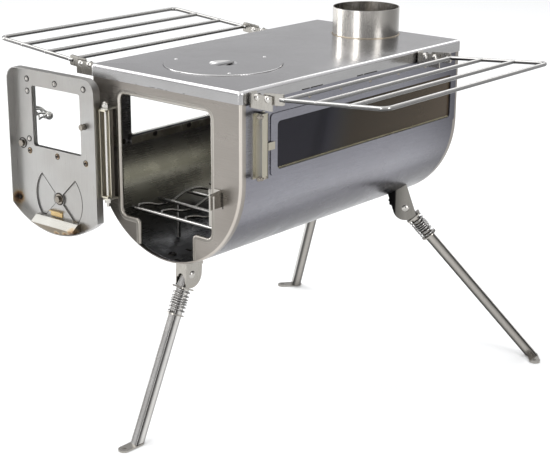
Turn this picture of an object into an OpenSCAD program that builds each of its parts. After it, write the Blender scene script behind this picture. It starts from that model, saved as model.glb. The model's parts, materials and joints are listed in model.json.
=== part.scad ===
// Tent wood stove: a folded-sheet firebox with a round floor, a flat cooktop with a burner lid,
// a flue collar, a glazed door, glazed sides, two folding wire racks, a lift-out log grate
// and three sprung legs that fold under the floor.
// +X is the stove's right-hand side, -Y is the front with the door, +Z is up, and Z = 0 is the ground.

/* [Firebox] */
// Height of the cooktop above the ground
top_height = 447; // [420:1:480]
// Outer width of the firebox, which is also the diameter of its round floor
body_width = 242; // [230:1:260]
// Length of the firebox from front face to back face
body_length = 432; // [420:1:480]
// Height of the straight side walls, from the cooktop to the centre of the round floor
side_height = 105; // [102:1:120]
// Thickness of the firebox sheet
sheet = 1; // [0.8:0.1:1.4]
// Outside radius of the pressed edge round both end panels
panel_edge_r = 3; // [2.2:0.2:4]
// Depth of the end panels' rim, along the stove
panel_rim = 9; // [6:1:14]

/* [Cooktop] */
// Thickness of the cooktop plate
cooktop_sheet = 1.5; // [1.2:0.1:2]
// Depth of the flange folded down round the cooktop
cooktop_flange = 15; // [12:1:18]
// Outside radius of the fold at the cooktop's edge
cooktop_edge_r = 3; // [2.5:0.25:4]
// Diameter of the burner lid
lid_d = 144; // [120:2:160]
// Distance of the lid's centre behind the front face
lid_y = 103; // [98:1:115]
// Thickness of the burner lid
lid_t = 3; // [2.5:0.25:4]
// Width of the step that the lid rests on
lid_ledge = 6; // [4:0.5:8]
// Diameter of the dish under the lid's lifting bar
dish_d = 34; // [28:1:40]
// Width of the lid's lifting bar
lid_bar_w = 7; // [5:0.5:9]

/* [Flue collar] */
// Outside diameter of the flue collar
flue_od = 89; // [76:1:102]
// Wall of the flue collar
flue_wall = 1; // [0.8:0.1:1.5]
// Height of the flue collar above the cooktop
flue_height = 36.5; // [25:0.5:60]
// Distance of the flue's centre in front of the back face
flue_inset = 46; // [45:1:60]

/* [Door opening] */
// Width of the front panel on each side of the door
door_side = 43; // [41:1:44]
// How far the door laps over the front panel on each side of the opening
door_lap = 4; // [3:0.5:5]
// Drop from the cooktop to the top of the opening
opening_drop = 31; // [26:0.5:36]
// Height of the wide part of the opening
opening_height = 150; // [144:1:152]
// Corner radius of the opening
opening_corner_r = 8; // [4:0.5:12]
// Width of the ash slot under the opening
slot_width = 87; // [84:1:96]
// Radius of the shoulders at the top of the ash slot
shoulder_r = 7; // [4:0.5:10]

/* [Door] */
// Depth of the door pan
door_depth = 11; // [9:0.5:14]
// Thickness of the door sheet
door_sheet = 1.2; // [1:0.1:1.5]
// Drop from the cooktop to the top of the door
door_drop = 15.5; // [15.5:0.5:18]
// Radius of the door's top corners
door_corner_r = 17; // [10:1:22]
// Width of the door on each side of its window
door_window_side = 34.75; // [34:0.25:38]
// Height of the door's window
door_window_h = 77.5; // [70:0.5:80]
// Drop from the cooktop to the top of the door's window
door_window_drop = 38.3; // [37:0.5:42]
// Thickness of the door glass
door_glass_t = 4; // [3:0.5:5]
// Height of the air damper's centre above the bottom of the firebox
damper_rise = 47.5; // [44:0.5:48]
// Radius of the air damper's sector openings
damper_r = 42; // [36:1:44]
// How far the door stands open, in degrees
door_open = 178; // [0:1:178]
// Distance of the hinge rod from the door's side
hinge_offset = 9.2; // [8.6:0.1:10]
// How far the hinge rod stands in front of the front panel
hinge_reach = 11; // [10.5:0.5:13]
// Diameter of the hinge rod
hinge_rod_d = 4; // [3:0.5:5]
// Length of the hinge channel
hinge_length = 110; // [90:1:124]

/* [Side windows] */
// Distance from the front face to the window opening
window_front = 62; // [60:1:70]
// Distance from the window opening to the back face
window_rear = 19; // [16:1:60]
// Drop from the cooktop to the top of the window opening
window_drop = 44; // [42:0.5:46]
// Height of the window opening
window_height = 57; // [44:0.5:58]
// Corner radius of the window opening
window_corner_r = 5; // [3:0.5:8]
// Width of the frame plate round the window
window_border = 10; // [8:0.5:10]
// Thickness of the frame plate
frame_sheet = 1.2; // [0.8:0.1:1.5]
// Thickness of the side glass
side_glass_t = 3; // [2.5:0.5:4]

/* [Side racks] */
// Reach of a rack from its pivot rivet to its outer rod
rack_reach = 158; // [130:1:158]
// Distance between a rack's end rods
rack_length = 320; // [280:1:320]
// Number of long rods on a rack
rack_rods = 4; // [3:1:6]
// Distance from the pivot rivet to the innermost long rod
rack_inner = 21.5; // [20:0.5:30]
// Diameter of the rack wire
rack_wire = 5; // [4:0.5:6]
// Upward tilt of an open rack, in degrees
rack_tilt = 4.6; // [0:0.2:8]
// Distance of the front rack bracket behind the front face
rack_front = 9; // [6:1:14]
// Distance of the pivot rivet outside the cooktop's flange
rack_pivot_out = 29; // [27:0.5:32]

/* [Log grate] */
// Number of cross rods in the grate
grate_rods = 9; // [5:1:10]
// Number of crimped long wires in the grate
grate_wires = 4; // [3:1:5]
// Width of the grate
grate_width = 142; // [120:1:142]
// Length of the grate
grate_length = 376; // [300:2:396]
// Diameter of the grate's cross rods
grate_rod_d = 5; // [4:0.5:6]
// Diameter of the grate's crimped wires
grate_wire_d = 3.5; // [3:0.25:4]
// Height of the middle of the grate above the bottom of the firebox
grate_rise = 52; // [52:0.5:53]

/* [Legs] */
// Width of the square leg tube
leg_tube = 13; // [12:0.5:14]
// Wall of the leg tube
leg_wall = 1.2; // [1:0.1:1.6]
// Gap between the firebox floor and a leg's pivot
pivot_gap = 24; // [22:0.5:28]
// Distance of the front leg's pivot behind the front face
front_leg_y = 36; // [30:1:50]
// Distance of the rear legs' pivots in front of the back face
rear_leg_inset = 46; // [37:1:72]
// Angle round the floor from the bottom to a rear leg's pivot, in degrees
rear_leg_angle = 31; // [26:1:34]
// Direction of the rear legs in plan, from the sideways direction, in degrees
rear_leg_plan = 40; // [34:1:46]
// Lean of the front leg from upright, in degrees
front_leg_lean = 25; // [20:1:28]
// Lean of the rear legs from upright, in degrees
rear_leg_lean = 40.5; // [34:0.5:44]
// Diameter of the pivot rivets in the legs
leg_rivet_d = 6; // [5:0.5:7]
// Thickness of the leg brackets
bracket_sheet = 1.7; // [1.5:0.1:2]
// Diameter of the leg spring's wire
spring_wire = 2.2; // [1.8:0.1:2.4]
// Number of curls in a leg spring
spring_curls = 7; // [5:1:8]
// Length of a foot plate
foot_length = 38; // [30:1:44]
// Width of a foot plate
foot_width = 15; // [14:0.5:20]
// Diameter of the peg hole in a foot plate
peg_hole_d = 5; // [4:0.5:6]

/* [Hidden] */
$fn = 48;

// Colours
steel = "#b9b8b4";
bright_steel = "#cfcecb";
dark_steel = "#8b8984";
glass_tint = "#8f9ba080";
smoked_tint = "#4b423b90";

// Gap between a piece and the other body's piece that it rests on or passes
gap = 0.3;
// Radial running clearance round a pin
pin_gap = 0.05;
// Overrun of a cut past the face that it opens
over = 2;

// Firebox
body_r = body_width / 2;
axis_z = top_height - side_height;
wall_top = top_height - cooktop_edge_r;
shell_inner_r = body_r - sheet;

// Cooktop
cooktop_half = body_r + gap + cooktop_sheet;
cooktop_out = cooktop_half - body_r;
cooktop_corner_r = panel_edge_r + cooktop_out;

// Burner lid
lid_hole_r = lid_d / 2 - lid_ledge;
lid_recess_r = lid_d / 2 + 2 * gap;
lid_recess = 2.2;
lid_pin_d = 5;
lid_pin_inset = 9;
lid_pin_drop = 3;
lid_pins = 3;
lid_pin_turn = 79;
lid_bar_turn = 90;
dish_depth = 4;
dish_wall = 1.5;
lid_rise = 1;
lid_edge_r = 0.8;

// Flue collar
flue_r = flue_od / 2;
flue_y = body_length - flue_inset;
flue_foot = 5;

// Door, in the place that it has when it is closed
door_gap = 0.5;
door_back_y = -door_gap;
door_floor_y = door_back_y - door_depth + door_sheet;
door_face_y = door_back_y - door_depth;
door_width = body_width - 2 * door_side;
door_half = door_width / 2;
opening_width = door_width - 2 * door_lap;
door_window_w = door_width - 2 * door_window_side;
hinge_x = door_half + hinge_offset;
door_floor_r = body_r - 2.5 * sheet;
door_window_top = top_height - door_window_drop;
door_window_mid = door_window_top - door_window_h / 2;
door_window_corner_r = 3;
glass_lap = 2.5;
glass_play = 0.3;
glass_frame_sheet = 1.2;
glass_frame_lip = 9;
door_screw_inset = 7.5;
door_screw_d = 3.6;
screw_head_h = 1.5;
screw_tail = 1.2;
stud_tail = 6;
damper_z = axis_z - body_r + damper_rise;
damper_hub_r = 9;
damper_lap = 3;
damper_half_angle = 44;
damper_lap_angle = 3;
damper_sheet = 1.2;
damper_grip = 9;
damper_bolt_d = 5;
ash_lip_half = 38;
ash_lip_rise = 22;
ash_lip_top = axis_z - body_r + ash_lip_rise;
ash_lip_reach = 6;
ash_lip_sheet = 1.2;
ash_lip_r = body_r - panel_edge_r - 3 * gap - sheet;
stop_w = 21;
stop_h = 8;
stop_drop = 20.5;
stop_out = 4;

// Door hinge
rod_r = hinge_rod_d / 2;
hinge_y = -hinge_reach;
channel_w = 12;
channel_sheet = 1.2;
channel_end_t = 2;
ear_t = 2;
ear_r = 6;
hinge_mid_drop = 105;
hinge_mid_z = top_height - hinge_mid_drop;
rod_tail = 9;
nut_h = 4;
nut_af = 7.5;

// Latch
latch_inset = 14.6;
latch_x = door_half - latch_inset;
latch_drop = 115.4;
latch_z = top_height - latch_drop;
latch_sheet = 2;
latch_hub_r = 8;
latch_bolt_d = 5;
tongue_w = 8;
tongue_l = 33;
tongue_angle = -66;
grip_drop = 79.5;
grip_z = top_height - grip_drop;
grip_reach = 19;
grip_y = door_face_y - grip_reach;
grip_root_out = 4;
grip_root_x = door_half + grip_root_out;
grip_length = 50;
grip_r = 9.3;
grip_wire = 2.6;
grip_strands = 5;
grip_neck_r = 3.6;
grip_twist = 200;
grip_rings = 20;
ferrule_r = 5.6;
ferrule_l = 4;
catch_reach = 28;
catch_x = latch_x + catch_reach;
catch_t = 2;
catch_drop = 2.8;
catch_top = latch_z - catch_drop;
catch_h = 20;
catch_foot = 10;
catch_bridge = 2.4;
catch_hook = 4;
catch_slope = 2;

// Side windows
keeper_sheet = 1.5;
window_length = body_length - window_front - window_rear;
frame_top = top_height - window_drop + window_border;
frame_low_border = 6;
frame_h = window_height + window_border + frame_low_border;
frame_front = window_front - window_border - keeper_sheet;
frame_back = window_front + window_length + window_border + keeper_sheet;
pane_lap = 5;
strip_w = 9;
strip_t = 1.5;
window_screw_d = 4;
window_screws_top = 7;
keeper_y = 24;
keeper_w = 10;
keeper_out = 11;
keeper_h = 76;
keeper_drop = 28;
keeper_top = top_height - keeper_drop;
keeper_tab_h = 9;
keeper_tab_drop = 38;
keeper_foot = 5;

// Side racks
rack_pivot_x = cooktop_half + rack_pivot_out;
rack_pivot_drop = 5.5;
rack_pivot_z = top_height - rack_pivot_drop;
rack_stop_in = 15;
rack_wire_r = rack_wire / 2;
rack_corner_r = 9;
rack_pitch = (rack_reach - rack_inner) / (rack_rods - 1);
bracket_t = 2;
bracket_drop = 1.8;
bracket_top = top_height - bracket_drop;
bracket_h = 16.5;
bracket_bend_r = 6;
bracket_foot = 14;
bracket_end = 7;
arm_t = 2.5;
arm_h = 13;
rack_rivet_d = 5;
rack_arm_y = rack_front + bracket_t + gap;
rack_rod_y = rack_arm_y + arm_t / 2;

// Log grate
grate_z = axis_z - body_r + grate_rise;
grate_rod_r = grate_rod_d / 2;
grate_wire_r = grate_wire_d / 2;
grate_front = 12;
grate_pitch = (grate_length - grate_rod_d) / (grate_rods - 1);
grate_wire_span = 120;
grate_crimp = grate_rod_r + grate_wire_r + gap;
grate_wire_rings = 6;
grate_leg_x = 38;

// Legs, in their own upright plane: u points outwards and v up, with the pivot at the middle
leg_half = leg_tube / 2;
leg_corner_r = 3;
leg_head = 6;
leg_rivet_r = leg_rivet_d / 2;
bracket_slot = leg_tube + 1;
bracket_outer = bracket_slot + 2 * bracket_sheet;
bracket_turn = 22;
bracket_front_u = 11;
bracket_web_end = 3;
bracket_arch_r = 5;
seat_dist = 17;
lobe = 2.2;
collar_w = 21;
collar_t = 2;
seat_d = 22;
seat_t = 1.6;
spring_length = 31.5;
spring_r = leg_half * sqrt(2) - leg_corner_r * (sqrt(2) - 1) + spring_wire / 2 + 0.5 * spring_wire / 2;
collar_near = seat_dist + gap;
collar_far = collar_near + collar_t;
seat_near = collar_far + spring_length + 2 * gap;
foot_t = 2;
foot_in = 9.5;
rivet_head_r = 5;
rivet_head_h = 2.2;

front_pivot = [0, front_leg_y, axis_z - body_r - pivot_gap];
rear_pivot_r = body_r + pivot_gap;
rear_pivot = [
    rear_pivot_r * sin(rear_leg_angle),
    body_length - rear_leg_inset,
    axis_z - rear_pivot_r * cos(rear_leg_angle)
];

// How far out the leg's middle line meets the ground, from its pivot
function leg_run(pivot, lean) = pivot[2] * tan(lean);

// The part's frame has its origin on the ground under the middle of its outline
foot_tip = foot_length - foot_in - foot_width / 2;
front_reach = front_pivot[1] - leg_run(front_pivot, front_leg_lean) - foot_tip - foot_width / 2;
rear_reach = rear_pivot[1] + leg_run(rear_pivot, rear_leg_lean) * sin(rear_leg_plan)
    + (foot_length - foot_width - foot_tip) * cos(rear_leg_plan) + foot_width / 2;
frame_y = -(front_reach + rear_reach) / 2;

module in_frame() {
    translate([0, frame_y, 0]) children();
}

// Flat shapes

module rounded_rect(w, h, r) {
    square([w - 2 * r, h], center = true);
    square([w, h - 2 * r], center = true);
    for (i = [-1, 1], j = [-1, 1])
        translate([i * (w / 2 - r), j * (h / 2 - r)]) circle(r);
}

// The firebox's cross-section: a half round floor under two straight walls
module trough(r, up) {
    intersection() {
        circle(r);
        translate([-2 * r, -2 * r]) square([4 * r, 2 * r]);
    }
    translate([-r, 0]) square([2 * r, up]);
}

// Stands a flat shape drawn in X and Z upright and gives it a thickness from y0 to y1
module upright(y0, y1) {
    translate([0, y1, 0]) rotate([90, 0, 0]) linear_extrude(y1 - y0) children();
}

// Stands a flat shape drawn in Y and Z on the right-hand side, from x0 to x1
module sideways(x0, x1) {
    translate([x0, 0, 0]) rotate([90, 0, 90]) linear_extrude(x1 - x0) children();
}

module on_left() {
    mirror([1, 0, 0]) children();
}

// A swept wire: rings carried along a row of points without twisting
function unit(v) = v / norm(v);
function tangents(p) = [
    for (i = [0:len(p) - 1]) unit(p[min(i + 1, len(p) - 1)] - p[max(i - 1, 0)])
];
function carried(t, seed) = [
    for (
        i = 0, n = unit(cross(t[0], seed));
        i < len(t);
        i = i + 1, n = i < len(t) ? unit(n - (n * t[i]) * t[i]) : n
    ) n
];
function least_gap(p, d, skip) =
    min([for (i = [0:len(p) - skip - 1], j = [i + skip:len(p) - 1]) norm(p[i] - p[j])]) - d;

module wire_form(p, r, sides, seed) {
    t = tangents(p);
    n = carried(t, seed);
    points = [
        for (i = [0:len(p) - 1], k = [0:sides - 1])
            p[i] + r * (cos(360 * k / sides) * n[i] + sin(360 * k / sides) * cross(t[i], n[i]))
    ];
    last = (len(p) - 1) * sides;
    faces = concat(
        [for (k = [1:sides - 2]) [0, k, k + 1]],
        [for (k = [1:sides - 2]) [last, last + k + 1, last + k]],
        [for (i = [0:len(p) - 2], k = [0:sides - 1])
            [i * sides + k, (i + 1) * sides + k, (i + 1) * sides + (k + 1) % sides]],
        [for (i = [0:len(p) - 2], k = [0:sides - 1])
            [i * sides + k, (i + 1) * sides + (k + 1) % sides, i * sides + (k + 1) % sides]]
    );
    polyhedron(points, faces, convexity = 10);
}

// A round rod between two points
module rod(a, b, r) {
    d = b - a;
    translate(a)
        rotate([0, acos(d[2] / norm(d)), atan2(d[1], d[0])])
            cylinder(h = norm(d), r = r);
}

// A domed rivet or screw head standing on the plane z = 0
module dome(r, h) {
    ball = (r * r + h * h) / (2 * h);
    intersection() {
        translate([0, 0, h - ball]) sphere(ball);
        cylinder(h = h, r = r);
    }
}

// Firebox

module panel_outline() {
    trough(body_r - panel_edge_r, wall_top - axis_z);
}

// The pressed edge of an end panel: r outwards, depth into the stove
module rim_profile() {
    intersection() {
        difference() {
            translate([body_r - panel_edge_r, panel_edge_r]) circle(panel_edge_r);
            translate([body_r - panel_edge_r, panel_edge_r]) circle(panel_edge_r - sheet);
        }
        translate([body_r - panel_edge_r, 0]) square(panel_edge_r);
    }
    translate([body_r - sheet, panel_edge_r]) square([sheet, panel_rim - panel_edge_r]);
}

module panel_rim_form() {
    translate([0, 0, axis_z]) {
        rotate([-90, 0, 0]) rotate_extrude(angle = 180) rim_profile();
        linear_extrude(wall_top - axis_z) rim_profile();
        on_left() linear_extrude(wall_top - axis_z) rim_profile();
    }
}

// The keyhole opening: a wide mouth over the ash slot
module opening_outline() {
    top = side_height - opening_drop;
    low = top - opening_height;
    translate([0, (top + low) / 2]) rounded_rect(opening_width, opening_height, opening_corner_r);
    translate([-slot_width / 2, -body_r]) square([slot_width, low + body_r + opening_corner_r]);
    for (side = [0, 1]) mirror([side, 0])
        difference() {
            translate([slot_width / 2, low - shoulder_r]) square([shoulder_r, shoulder_r + sheet]);
            translate([slot_width / 2 + shoulder_r, low - shoulder_r]) circle(shoulder_r);
        }
}

module front_panel() {
    color(steel) in_frame() {
        difference() {
            upright(0, sheet) translate([0, axis_z]) panel_outline();
            upright(-over, sheet + over) translate([0, axis_z]) opening_outline();
        }
        panel_rim_form();
    }
}

module back_panel() {
    color(steel) in_frame() translate([0, body_length, 0]) mirror([0, 1, 0]) {
        upright(0, sheet) translate([0, axis_z]) panel_outline();
        panel_rim_form();
    }
}

module window_hole() {
    translate([window_front + window_length / 2, top_height - window_drop - window_height / 2])
        rounded_rect(window_length, window_height, window_corner_r);
}

module firebox_shell() {
    color(steel) in_frame() difference() {
        upright(panel_rim, body_length - panel_rim) translate([0, axis_z]) difference() {
            trough(body_r, wall_top - axis_z);
            trough(shell_inner_r, wall_top - axis_z + over);
        }
        sideways(-body_r - over, body_r + over) window_hole();
    }
}

// Cooktop

// The folded edge of the cooktop: out from the corner's centre, height from its top face
module cooktop_profile() {
    corner = cooktop_corner_r;
    intersection() {
        difference() {
            translate([corner - cooktop_edge_r, -cooktop_edge_r]) circle(cooktop_edge_r);
            translate([corner - cooktop_edge_r, -cooktop_edge_r]) circle(cooktop_edge_r - cooktop_sheet);
        }
        translate([corner - cooktop_edge_r, -cooktop_edge_r]) square(cooktop_edge_r);
    }
    translate([corner - cooktop_sheet, -cooktop_flange])
        square([cooktop_sheet, cooktop_flange - cooktop_edge_r]);
    translate([0, -cooktop_sheet]) square([corner - cooktop_edge_r, cooktop_sheet]);
}

module cooktop_edge() {
    across = 2 * (cooktop_half - cooktop_corner_r);
    along = body_length + 2 * (cooktop_out - cooktop_corner_r);
    for (end = [0, 1])
        rotate([0, 0, 180 * end]) {
            translate([across / 2, along / 2, 0]) rotate([90, 0, 0]) linear_extrude(along) cooktop_profile();
            translate([across / 2, along / 2, 0]) rotate_extrude(angle = 90) cooktop_profile();
            translate([-across / 2, along / 2, 0])
                rotate([90, 0, 90]) linear_extrude(across) cooktop_profile();
            translate([-across / 2, along / 2, 0])
                rotate([0, 0, 90]) rotate_extrude(angle = 90) cooktop_profile();
        }
}

module cooktop_plate() {
    across = 2 * (cooktop_half - cooktop_corner_r);
    along = body_length + 2 * (cooktop_out - cooktop_corner_r);
    color(steel) in_frame() {
        difference() {
            union() {
                translate([0, body_length / 2, top_height]) cooktop_edge();
                translate([-across / 2, (body_length - along) / 2, top_height - cooktop_sheet])
                    cube([across, along, cooktop_sheet]);
            }
            translate([0, lid_y, top_height - cooktop_sheet - over])
                cylinder(h = cooktop_sheet + 2 * over, r = lid_recess_r);
            translate([0, flue_y, top_height - cooktop_sheet - over])
                cylinder(h = cooktop_sheet + 2 * over, r = flue_r);
        }
        translate([0, lid_y, top_height]) rotate_extrude() {
            translate([lid_hole_r, -lid_recess - cooktop_sheet])
                square([lid_recess_r + cooktop_sheet - lid_hole_r, cooktop_sheet]);
            translate([lid_recess_r, -lid_recess - cooktop_sheet])
                square([cooktop_sheet, lid_recess + cooktop_sheet]);
        }
    }
}

// The collar's tube, with its foot through the cooktop
module flue_collar() {
    color(bright_steel) in_frame() translate([0, flue_y, top_height]) rotate_extrude() {
        translate([flue_r - flue_wall, -flue_foot]) square([flue_wall, flue_foot + flue_height]);
    }
}

module lid_pin_places() {
    for (i = [0:lid_pins - 1])
        rotate([0, 0, lid_pin_turn + 360 * i / lid_pins])
            translate([lid_d / 2 - lid_pin_inset, 0, 0]) children();
}

// A disc with a pressed dish under a lifting bar, and pins that keep it over its hole
module burner_lid() {
    dish_r = dish_d / 2;
    ball = (dish_r * dish_r + dish_depth * dish_depth) / (2 * dish_depth);
    color(steel) in_frame() translate([0, lid_y, top_height - lid_recess + gap]) {
        rotate_extrude() {
            translate([dish_r - dish_wall, 0]) square([lid_d / 2 - dish_r + dish_wall, lid_t - lid_edge_r]);
            translate([dish_r, 0]) square([lid_d / 2 - dish_r - lid_edge_r, lid_t]);
            translate([lid_d / 2 - lid_edge_r, lid_t - lid_edge_r]) circle(lid_edge_r);
            intersection() {
                difference() {
                    translate([0, lid_t + ball - dish_depth]) circle(ball + dish_wall, $fn = 96);
                    translate([0, lid_t + ball - dish_depth]) circle(ball, $fn = 96);
                }
                translate([0, -dish_depth]) square([dish_r, lid_t + dish_depth]);
            }
        }
        rotate([0, 0, lid_bar_turn]) translate([-dish_r - dish_wall, -lid_bar_w / 2, lid_t - dish_wall])
            cube([dish_d + 2 * dish_wall, lid_bar_w, dish_wall]);
        lid_pin_places() translate([0, 0, -lid_pin_drop]) cylinder(h = lid_pin_drop, r = lid_pin_d / 2);
        lid_pin_places() translate([0, 0, lid_t - lid_edge_r]) dome(lid_pin_d / 2, lid_rise + lid_edge_r);
    }
}

// Side windows, drawn on the right-hand side

module window_frame() {
    mid_y = (frame_front + frame_back) / 2;
    color(steel) difference() {
        sideways(body_r, body_r + frame_sheet)
            translate([mid_y, frame_top - frame_h / 2])
                rounded_rect(frame_back - frame_front, frame_h, window_corner_r);
        sideways(body_r - over, body_r + frame_sheet + over) window_hole();
    }
}

module window_glass() {
    color(smoked_tint)
        sideways(shell_inner_r - side_glass_t - gap, shell_inner_r - gap)
            translate([window_front + window_length / 2, top_height - window_drop - window_height / 2])
                square([window_length + 2 * pane_lap, window_height + 2 * pane_lap], center = true);
}

// Folded strips that hold the pane against the wall, above and below it
module glass_strips() {
    pane_x = shell_inner_r - side_glass_t - 2 * gap;
    pane_top = top_height - window_drop + pane_lap;
    pane_low = pane_top - window_height - 2 * pane_lap;
    length = window_length + 2 * pane_lap;
    color(dark_steel) {
        translate([pane_x - strip_t, window_front - pane_lap, pane_top + gap - strip_w / 2])
            cube([strip_t, length, strip_w]);
        translate([pane_x, window_front - pane_lap, pane_top + gap])
            cube([shell_inner_r - pane_x - gap, length, strip_t]);
        translate([pane_x - strip_t, window_front - pane_lap, pane_low - gap - strip_w / 2])
            cube([strip_t, length, strip_w]);
        translate([pane_x, window_front - pane_lap, pane_low - gap - strip_t])
            cube([shell_inner_r - pane_x - gap, length, strip_t]);
    }
}

// A folded box channel welded at the front end of the window, with a tab over the frame
module window_keeper() {
    color(bright_steel) translate([body_r, 0, keeper_top - keeper_h]) {
        difference() {
            translate([0, keeper_y, 0]) cube([keeper_out, keeper_w, keeper_h]);
            translate([-over, keeper_y + keeper_sheet, -over])
                cube([keeper_out + over - keeper_sheet, keeper_w - 2 * keeper_sheet, keeper_h + 2 * over]);
        }
        translate([0, keeper_y + keeper_w, 0]) cube([keeper_sheet, keeper_foot, keeper_h]);
        translate([0, keeper_y - keeper_foot, 0]) cube([keeper_sheet, keeper_foot, keeper_h]);
        translate([keeper_sheet, keeper_y + keeper_w, keeper_h - keeper_tab_drop - keeper_tab_h])
            cube([keeper_sheet, frame_front + keeper_foot - keeper_y - keeper_w, keeper_tab_h]);
    }
}

module window_screw_row(z, sign) {
    step = window_length / (window_screws_top - 1);
    for (i = [0:window_screws_top - 1])
        translate([sign * body_r, window_front + i * step, z])
            rotate([0, sign * 90, 0]) dome(window_screw_d / 2 + screw_head_h / 2, screw_head_h);
}

module window_screws() {
    color(bright_steel) in_frame() for (sign = [-1, 1])
        window_screw_row((frame_top + top_height - cooktop_flange) / 2, sign);
}

// Side racks, drawn on the right-hand side

module rack_stations() {
    for (y = [rack_front, rack_front + rack_length]) translate([0, y, 0]) children();
}

// An angle bracket with a rounded bend: one leaf on the cooktop's flange, one standing out
module rack_bracket() {
    color(bright_steel) rack_stations()
        translate([cooktop_half, 0, bracket_top - bracket_h]) {
            difference() {
                linear_extrude(bracket_h) {
                    translate([bracket_bend_r, 0])
                        square([rack_pivot_out + bracket_end - bracket_bend_r, bracket_t]);
                    translate([0, bracket_bend_r]) square([bracket_t, bracket_foot - bracket_bend_r]);
                    intersection() {
                        square(bracket_bend_r);
                        difference() {
                            translate([bracket_bend_r, bracket_bend_r]) circle(bracket_bend_r);
                            translate([bracket_bend_r, bracket_bend_r]) circle(bracket_bend_r - bracket_t);
                        }
                    }
                }
                for (x = [rack_pivot_out - rack_stop_in, rack_pivot_out])
                    translate([x, -over, rack_pivot_z - bracket_top + bracket_h])
                        rotate([-90, 0, 0])
                            cylinder(h = bracket_t + 2 * over, r = rack_rivet_d / 2 + pin_gap);
            }
        }
}

// The pivot rivets go through the arms; the stop rivets stand over the arms' tails
module rack_rivet_set() {
    stop_r = rack_rivet_d / 2;
    color(bright_steel) rack_stations() {
        for (x = [rack_pivot_x - rack_stop_in, rack_pivot_x])
            translate([x, 0, rack_pivot_z]) {
                rotate([90, 0, 0]) dome(stop_r + screw_head_h, screw_head_h);
                rotate([-90, 0, 0]) cylinder(h = bracket_t + arm_t + 2 * gap, r = stop_r);
                translate([0, bracket_t + arm_t + 2 * gap, 0])
                    rotate([-90, 0, 0]) dome(stop_r + screw_head_h, screw_head_h);
            }
    }
}

// The arm's outline in the rack's own plane: a tail that rests under the stop rivet
module arm_outline() {
    tail_low = arm_h - rack_rivet_d / 2 - gap;
    difference() {
        union() {
            circle(arm_h / 2);
            translate([0, -arm_h / 2]) square([rack_inner, arm_h]);
            translate([-rack_stop_in - rack_rivet_d / 2, -arm_h / 2])
                square([rack_stop_in + rack_rivet_d / 2, arm_h]);
        }
        circle(rack_rivet_d / 2 + pin_gap);
        rotate(-rack_tilt) translate([-rack_stop_in - arm_h, -rack_rivet_d / 2 - gap])
            square([rack_stop_in + arm_h - rack_rivet_d / 2 - tail_low / 2, arm_h]);
    }
}

// A rack at rest: wire loop, long rods and the two flat arms
module rack() {
    color(bright_steel)
        translate([rack_pivot_x, 0, rack_pivot_z]) rotate([0, -rack_tilt, 0]) {
            front = rack_rod_y;
            back = rack_rod_y + rack_length;
            for (y = [front, back])
                rod([rack_inner - rack_wire, y, 0], [rack_reach - rack_corner_r, y, 0], rack_wire_r);
            rod([rack_reach, front + rack_corner_r, 0], [rack_reach, back - rack_corner_r, 0], rack_wire_r);
            translate([rack_reach - rack_corner_r, front + rack_corner_r, 0])
                rotate([0, 0, -90]) rotate_extrude(angle = 90) translate([rack_corner_r, 0]) circle(rack_wire_r);
            translate([rack_reach - rack_corner_r, back - rack_corner_r, 0])
                rotate_extrude(angle = 90) translate([rack_corner_r, 0]) circle(rack_wire_r);
            for (i = [0:rack_rods - 2])
                rod([rack_inner + i * rack_pitch, front, 0], [rack_inner + i * rack_pitch, back, 0], rack_wire_r);
            for (y = [rack_arm_y, rack_arm_y + rack_length])
                translate([0, y, 0]) upright(0, arm_t) arm_outline();
        }
}

// Log grate

// A crimped wire that passes over one cross rod and under the next
function crimped_line(x) = [
    for (i = [0:grate_wire_rings * (grate_rods - 1)])
        [x, grate_front + grate_rod_r + i * grate_pitch / grate_wire_rings,
         grate_z + grate_crimp * cos(180 * i / grate_wire_rings)]
];

// Legs down to the round floor, close enough together to pass the ash slot
module grate_leg(y) {
    reach = grate_leg_x + grate_rod_r;
    foot_z = axis_z - sqrt(shell_inner_r * shell_inner_r - reach * reach) + gap;
    for (side = [-1, 1])
        translate([side * grate_leg_x, y, foot_z]) cylinder(h = grate_z - foot_z, r = grate_rod_r - gap / 2);
}

module log_grate() {
    first = grate_front + grate_rod_r;
    color(dark_steel) in_frame() {
        for (i = [0:grate_rods - 1])
            rod([-grate_width / 2, first + i * grate_pitch, grate_z],
                [grate_width / 2, first + i * grate_pitch, grate_z], grate_rod_r);
        for (i = [0:grate_wires - 1])
            wire_form(crimped_line(-grate_wire_span / 2 + i * grate_wire_span / (grate_wires - 1)),
                grate_wire_r, 6, [0, 0, 1]);
        grate_leg(first + grate_pitch);
        grate_leg(first + (grate_rods - 2) * grate_pitch);
    }
}

// Door, drawn closed and then swung open on its rod

module on_door() {
    in_frame() translate([-hinge_x, hinge_y, 0]) rotate([0, 0, -door_open])
        translate([hinge_x, -hinge_y, 0]) children();
}

// The door's outline, inset by an amount: rounded top corners and a round bottom like the floor
module door_outline(inset) {
    top = side_height - door_drop - inset;
    half = door_half - inset;
    r = door_corner_r - inset;
    intersection() {
        union() {
            translate([-half, -body_r]) square([2 * half, body_r + top - r]);
            translate([-half + r, 0]) square([2 * (half - r), top]);
            for (side = [-1, 1]) translate([side * (half - r), top - r]) circle(r);
        }
        union() {
            circle(door_floor_r - inset);
            translate([-body_r, 0]) square([body_width, body_width]);
        }
    }
}

module sector(r, half_angle) {
    reach = 2 * r;
    intersection() {
        circle(r);
        polygon([
            [0, 0],
            [reach * cos(half_angle), -reach * sin(half_angle)],
            [reach * cos(half_angle), reach * sin(half_angle)]
        ]);
    }
}

module damper_holes() {
    for (turn = [0, 180]) rotate(turn) difference() {
        sector(damper_r, damper_half_angle);
        circle(damper_hub_r);
    }
}

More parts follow.
